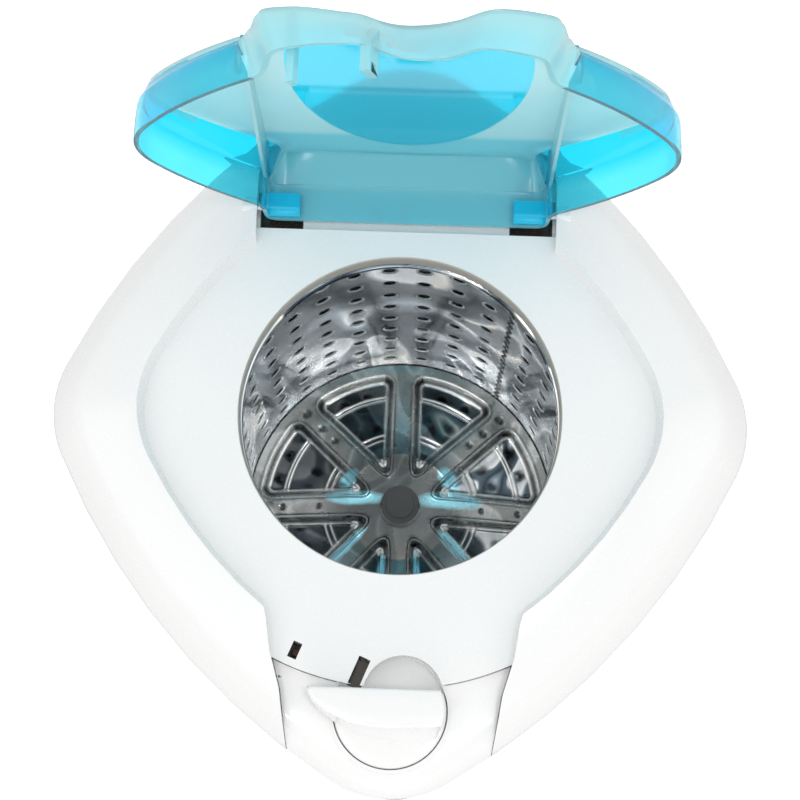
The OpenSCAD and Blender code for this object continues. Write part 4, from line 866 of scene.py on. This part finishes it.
edge_r = smoothed_round(edge_r, 9, 2.6)
edge = np.stack([edge_r * np.cos(around), middle[1] + edge_r * np.sin(around)], -1)
along = np.roll(edge, -1, 0) - np.roll(edge, 1, 0)
normal = np.stack([along[:, 1], -along[:, 0]], -1) / np.linalg.norm(along, axis=1)[:, None]
for k in (0, 1):
    normal[:, k] = smoothed_round(normal[:, k], 14, 6.0)
lid_low, lid_wall = deck + 0.0005, 0.0026


def plate_height(y):
    """Height of the plate over the lid's lower edge: it falls slowly towards the front."""
    return 0.038 - 0.07 * (0.100 - y)


def flared(plan, up):
    """The band's front leans outwards and back as it rises from the lower edge."""
    part = smooth_step(up, 0.001, 0.019) * smooth_step(-plan[:, 1], 0.091, 0.102)
    back = 0.002 + 0.015 * np.exp(-(((plan[:, 0] + 0.010) / 0.030) ** 2))
    return np.stack([plan[:, 0] * (1 + 0.12 * part), plan[:, 1] + back * part], -1)


def lid_ring(inset, up, slope=0.0, skin=0.0):
    """One ring round the lid at a height over its lower edge. A skin thickness moves the ring
    to the inner face, inwards where the wall is upright and down where it lies flat."""
    plan = edge - (inset + skin * cos(slope) + 0.0 * up)[:, None] * normal
    plan = flared(plan, up + 0.0 * plan[:, 0])
    z = lid_low + up - skin * sin(slope) + 0.0 * plan[:, 0]
    return np.concatenate([plan, z[:, None]], -1)


def lid_skin(skin):
    """Rings of one face of the lid, from its lower edge to the middle of the plate."""
    rings = []
    skirt = [(0.0002, 0.0), (0.0, 0.003), (0.0003, 0.011), (0.0006, 0.0175), (0.0012, 0.0194)]
    for inset, up in skirt:
        rings.append(lid_ring(np.full(len(edge), inset), np.full(len(edge), up), 0.0, skin))
    top = plate_height(edge[:, 1])
    for t, slope in [(0.0, 0.2), (0.3, 0.35), (0.6, 0.4), (0.85, 0.45), (0.96, 0.8), (1.0, 1.2)]:
        up = 0.0204 + t * (top - 0.0204)
        inset = 0.0022 + 0.42 * (up - 0.0204) + (0.0009 if t == 1.0 else 0.0)
        rings.append(lid_ring(inset, up, slope, skin))
    rim = rings[-1][:, :2]
    away = rim - middle
    rim_r = np.hypot(away[:, 0], away[:, 1])
    ux, uy = away[:, 0] / rim_r, away[:, 1] / rim_r
    shift = (middle[1] - oval_y) / oval_half[1] ** 2
    a = (ux / oval_half[0]) ** 2 + (uy / oval_half[1]) ** 2
    b = 2 * uy * shift
    c = ((middle[1] - oval_y) / oval_half[1]) ** 2 - 1
    to_oval = (-b + np.sqrt(b * b - 4 * a * c)) / (2 * a)
    to_front = np.where(uy < 0, (oval_front - middle[1]) / np.minimum(uy, -0.01), 1.0)
    oval_r = np.minimum(np.minimum(to_oval, to_front), 0.975 * rim_r)
    radii = [rim_r + (oval_r - rim_r) * t for t in (0.12, 0.4, 0.7, 1.0)]
    radii += [oval_r * t for t in (0.96, 0.85, 0.7, 0.5, 0.3, 0.1, 0.0)]
    for radius in radii:
        plan = middle + radius[:, None] * np.stack([ux, uy], -1)
        z = lid_low + plate_height(plan[:, 1]) - skin
        rings.append(np.concatenate([plan, z[:, None]], -1))
    return rings


# The clear window is a tall oval, cut off by the front of the band.
oval_y, oval_half, oval_front = -0.0495, (0.060, 0.134), -0.110
closed = np.stack(lid_skin(lid_wall)[::-1] + lid_skin(0.0))
lid_shell = make_piece("lid_moulding", [(stand_open(closed), False, True)], smooth_angle=38.0)


def clear_plastic(name, pale, deep, clear, rough):
    """Tinted plastic that lets light through. The tint is deep in the lid's upright walls and
    pale in its plate, with slow clouds, and the gloss has a fine scatter."""
    material, nodes, links, shader = new_material(name)
    place = add_node(nodes, "TexCoord")
    split = add_node(nodes, "SeparateXYZ", {0: place.outputs["Object"]})
    on_plate = add_node(nodes, "MapRange", {
        "From Min": 0.118, "From Max": 0.130, "Value": split.outputs["Y"],
    })
    clouds = add_node(nodes, "TexNoise", {"Scale": 28.0, "Vector": place.outputs["Object"]})
    mixed = add_node(nodes, "Math", {
        1: 0.3, 0: clouds.outputs["Fac"], 2: on_plate.outputs["Result"],
    }, operation="MULTIPLY_ADD")
    tint = add_node(nodes, "Mix", {
        "A": (*deep, 1.0), "B": (*pale, 1.0), "Factor": mixed.outputs[0],
    }, data_type="RGBA")
    links.new(tint.outputs["Result"], shader.inputs["Base Color"])
    fine = add_node(nodes, "TexNoise", {"Scale": 1400.0, "Vector": place.outputs["Object"]})
    gloss = add_node(nodes, "MapRange", {
        "To Min": rough * 0.8, "To Max": rough * 1.2, "Value": fine.outputs["Fac"],
    })
    links.new(gloss.outputs["Result"], shader.inputs["Roughness"])
    shader.inputs["Transmission Weight"].default_value = clear
    shader.inputs["IOR"].default_value = 1.45
    return material


lid_clear = clear_plastic("lid_clear_blue", (0.02, 0.62, 0.85), (0.12, 0.78, 0.93), 0.92, 0.05)
lid_milky = clear_plastic("lid_milky_blue", (0.6, 0.96, 1.0), (0.5, 0.94, 1.0), 0.5, 0.2)
knuckle_blue = clear_plastic("lid_solid_blue", (0.0, 0.56, 0.86), (0.0, 0.52, 0.8), 0.1, 0.2)
# The milky tint is painted deeper near the hinge, as shade seen through the plate.
nodes, links = lid_milky.node_tree.nodes, lid_milky.node_tree.links
place = add_node(nodes, "TexCoord")
parts = add_node(nodes, "SeparateXYZ", {0: place.outputs["Object"]})
hinge_shade_edge = add_node(nodes, "MapRange", {
    "From Min": deck + 0.046, "From Max": deck + 0.056, "Value": parts.outputs["Z"],
}, interpolation_type="SMOOTHSTEP")
lower = add_node(nodes, "Mix", {"A": (0.28, 0.8, 0.91, 1.0)}, data_type="RGBA")
shader = nodes["Principled BSDF"]
links.new(hinge_shade_edge.outputs["Result"], lower.inputs["Factor"])
links.new(shader.inputs["Base Color"].links[0].from_socket, lower.inputs["B"])
links.new(lower.outputs["Result"], shader.inputs["Base Color"])
centres = np.empty(len(lid_shell.data.polygons) * 3)
lid_shell.data.polygons.foreach_get("center", centres)
x, closed_y, closed_z = laid_shut(centres.reshape(-1, 3)).T
far = np.hypot(x / oval_half[0], (closed_y - oval_y) / oval_half[1])
on_plate = closed_z > lid_low + plate_height(closed_y) - 0.0036
on_band = (np.abs(x) < 0.0805) & (closed_y < -0.0985)
in_window = (far < 1.0) & on_plate & (closed_y > oval_front)
clear_face = in_window | (~on_plate & ~on_band & (closed_y < 0.1))
on_body(lid_shell, lid_milky, "lid", "lid")
lid_shell.data.materials.append(lid_clear)
lid_shell.data.polygons.foreach_set("material_index", clear_face.astype(np.int32))

# The band's two side walls hang under the plate, from the back to the front.
walls = []
y = np.linspace(-0.094, 0.112, 40)
for side in (-1, 1):
    x = side * np.array([0.0765, 0.0783])
    low = np.full_like(y, lid_low + 0.0165)
    high = lid_low + plate_height(y) - 0.0015
    loop_x = np.stack([np.full_like(y, x[0]), np.full_like(y, x[1]), np.full_like(y, x[1]),
                       np.full_like(y, x[0])], -1)
    loop_z = np.stack([low, low, high, high], -1)
    loop_y = np.repeat(y[:, None], 4, 1)
    walls.append((stand_open(np.stack([loop_x, loop_y, loop_z], -1)), False, True))
band_walls = make_piece("lid_band_walls", walls, smooth_angle=30.0)
on_body(band_walls, lid_milky, "lid")

# Each knuckle is a solid block with a rounded heel, moulded under the back of the plate.
blocks = []
heel = np.linspace(-pi, 0.0, 17)
section_y = np.concatenate([[0.1075], hinge_y + 0.005 * np.cos(heel), [0.1165, 0.1165, 0.1075]])
section_z = np.concatenate([[hinge_z + 0.004], hinge_z + 0.005 * np.sin(heel),
                            [hinge_z + 0.004, lid_low + 0.0125, lid_low + 0.0125]])
for side in (-1, 1):
    for_x = side * np.array([0.0585, 0.0590, 0.0770, 0.0775])
    shrink = np.array([0.9, 1.0, 1.0, 0.9])[:, None]
    mid_y, mid_z = section_y.mean(), section_z.mean()
    yy = mid_y + (section_y - mid_y) * shrink
    zz = mid_z + (section_z - mid_z) * (0.02 + 0.98 * shrink)
    xx = np.repeat(for_x[:, None], len(section_y), 1)
    body = np.stack([xx, yy, zz], -1)
    ends = [np.repeat(body[i].mean(0)[None, None], len(section_y), 1)[0][None] for i in (0, -1)]
    blocks.append((stand_open(np.concatenate([ends[0], body, ends[1]])), False, True))
knuckles = make_piece("lid_knuckles", blocks, smooth_angle=40.0)
on_body(knuckles, knuckle_blue, "lid")

# The tongue hangs from the front of the band and ends where the band's wall covers it.
tongue = softened("tongue_moulding", "lid_tongue", "lid", lid_milky, 0.0003)
lowered = laid_shut(corners(tongue.data))
roof = np.interp(-lowered[:, 1], [0.128, 0.132, 0.136, 0.142, 0.144, 0.148],
                 [0.0165, 0.013, 0.010, 0.005, 0.002, 0.0015])
lowered[:, 2] = np.minimum(lowered[:, 2], lid_low + roof)
tongue.data.vertices.foreach_set("co", stand_open(lowered).ravel())
tongue.data.update()
dressed("lid_peg", lid_milky)

# ---- parts that stay as drawn --------------------------------------------------------------
# The feet, the spout and all that is sealed inside keep their drawn shape.


def metal(name, colour, rough=0.35, scale=400.0):
    """A worked metal with a fine scatter in its gloss."""
    material, nodes, links, shader = new_material(name)
    place = add_node(nodes, "TexCoord")
    noise = add_node(nodes, "TexNoise", {
        "Scale": scale, "Detail": 4.0, "Vector": place.outputs["Object"],
    })
    tone = add_node(nodes, "Mix", {
        "A": (*[c * 0.8 for c in colour], 1.0), "B": (*colour, 1.0), "Factor": noise.outputs["Fac"],
    }, data_type="RGBA")
    links.new(tone.outputs["Result"], shader.inputs["Base Color"])
    gloss = add_node(nodes, "MapRange", {
        "To Min": rough - 0.1, "To Max": rough + 0.12, "Value": noise.outputs["Fac"],
    })
    links.new(gloss.outputs["Result"], shader.inputs["Roughness"])
    shader.inputs["Metallic"].default_value = 1.0
    bump = add_node(nodes, "Bump", {
        "Strength": 0.15, "Distance": 0.0004, "Height": noise.outputs["Fac"],
    })
    links.new(bump.outputs["Normal"], shader.inputs["Normal"])
    return material


finishes = {
    "casing": white_satin,
    "white_plastic": white_satin,
    "grey_plastic": pale_grey,
    "tub_plastic": natural,
    "lid_plastic": lid_milky,
    "black_plastic": black_plastic,
    "red_plastic": red_plastic,
    "rubber": rubber,
    "drum_steel": rivet_steel,
    "steel": metal("machined_steel", (0.55, 0.55, 0.56), 0.3),
    "plated_steel": metal("zinc_plate", (0.62, 0.62, 0.58), 0.32, 250.0),
    "laminations": metal("lamination_stack", (0.2, 0.2, 0.21), 0.5, 1200.0),
    "cast_iron": metal("cast_iron", (0.12, 0.12, 0.12), 0.62, 600.0),
    "aluminium": metal("cast_aluminium", (0.6, 0.61, 0.62), 0.45, 500.0),
    "copper": metal("enamelled_copper", (0.55, 0.2, 0.08), 0.35, 1500.0),
    "brake_lining": plastic("brake_lining", (0.06, 0.05, 0.045), roughness=0.75, grain=0.6),
}
done = {"floor_rivets", "hub_nut", "lid_peg"}
# The latch bolt and guide take the dark brown of painted shade instead of their own finish.
for part in frame["record"]["subparts"]:
    if part["node"] in ("latch_bolt", "latch_guide"):
        dressed(part["node"], slot_painted_shade)
    elif part["node"] not in done:
        dressed(part["node"], finishes[part["material_slot"]])
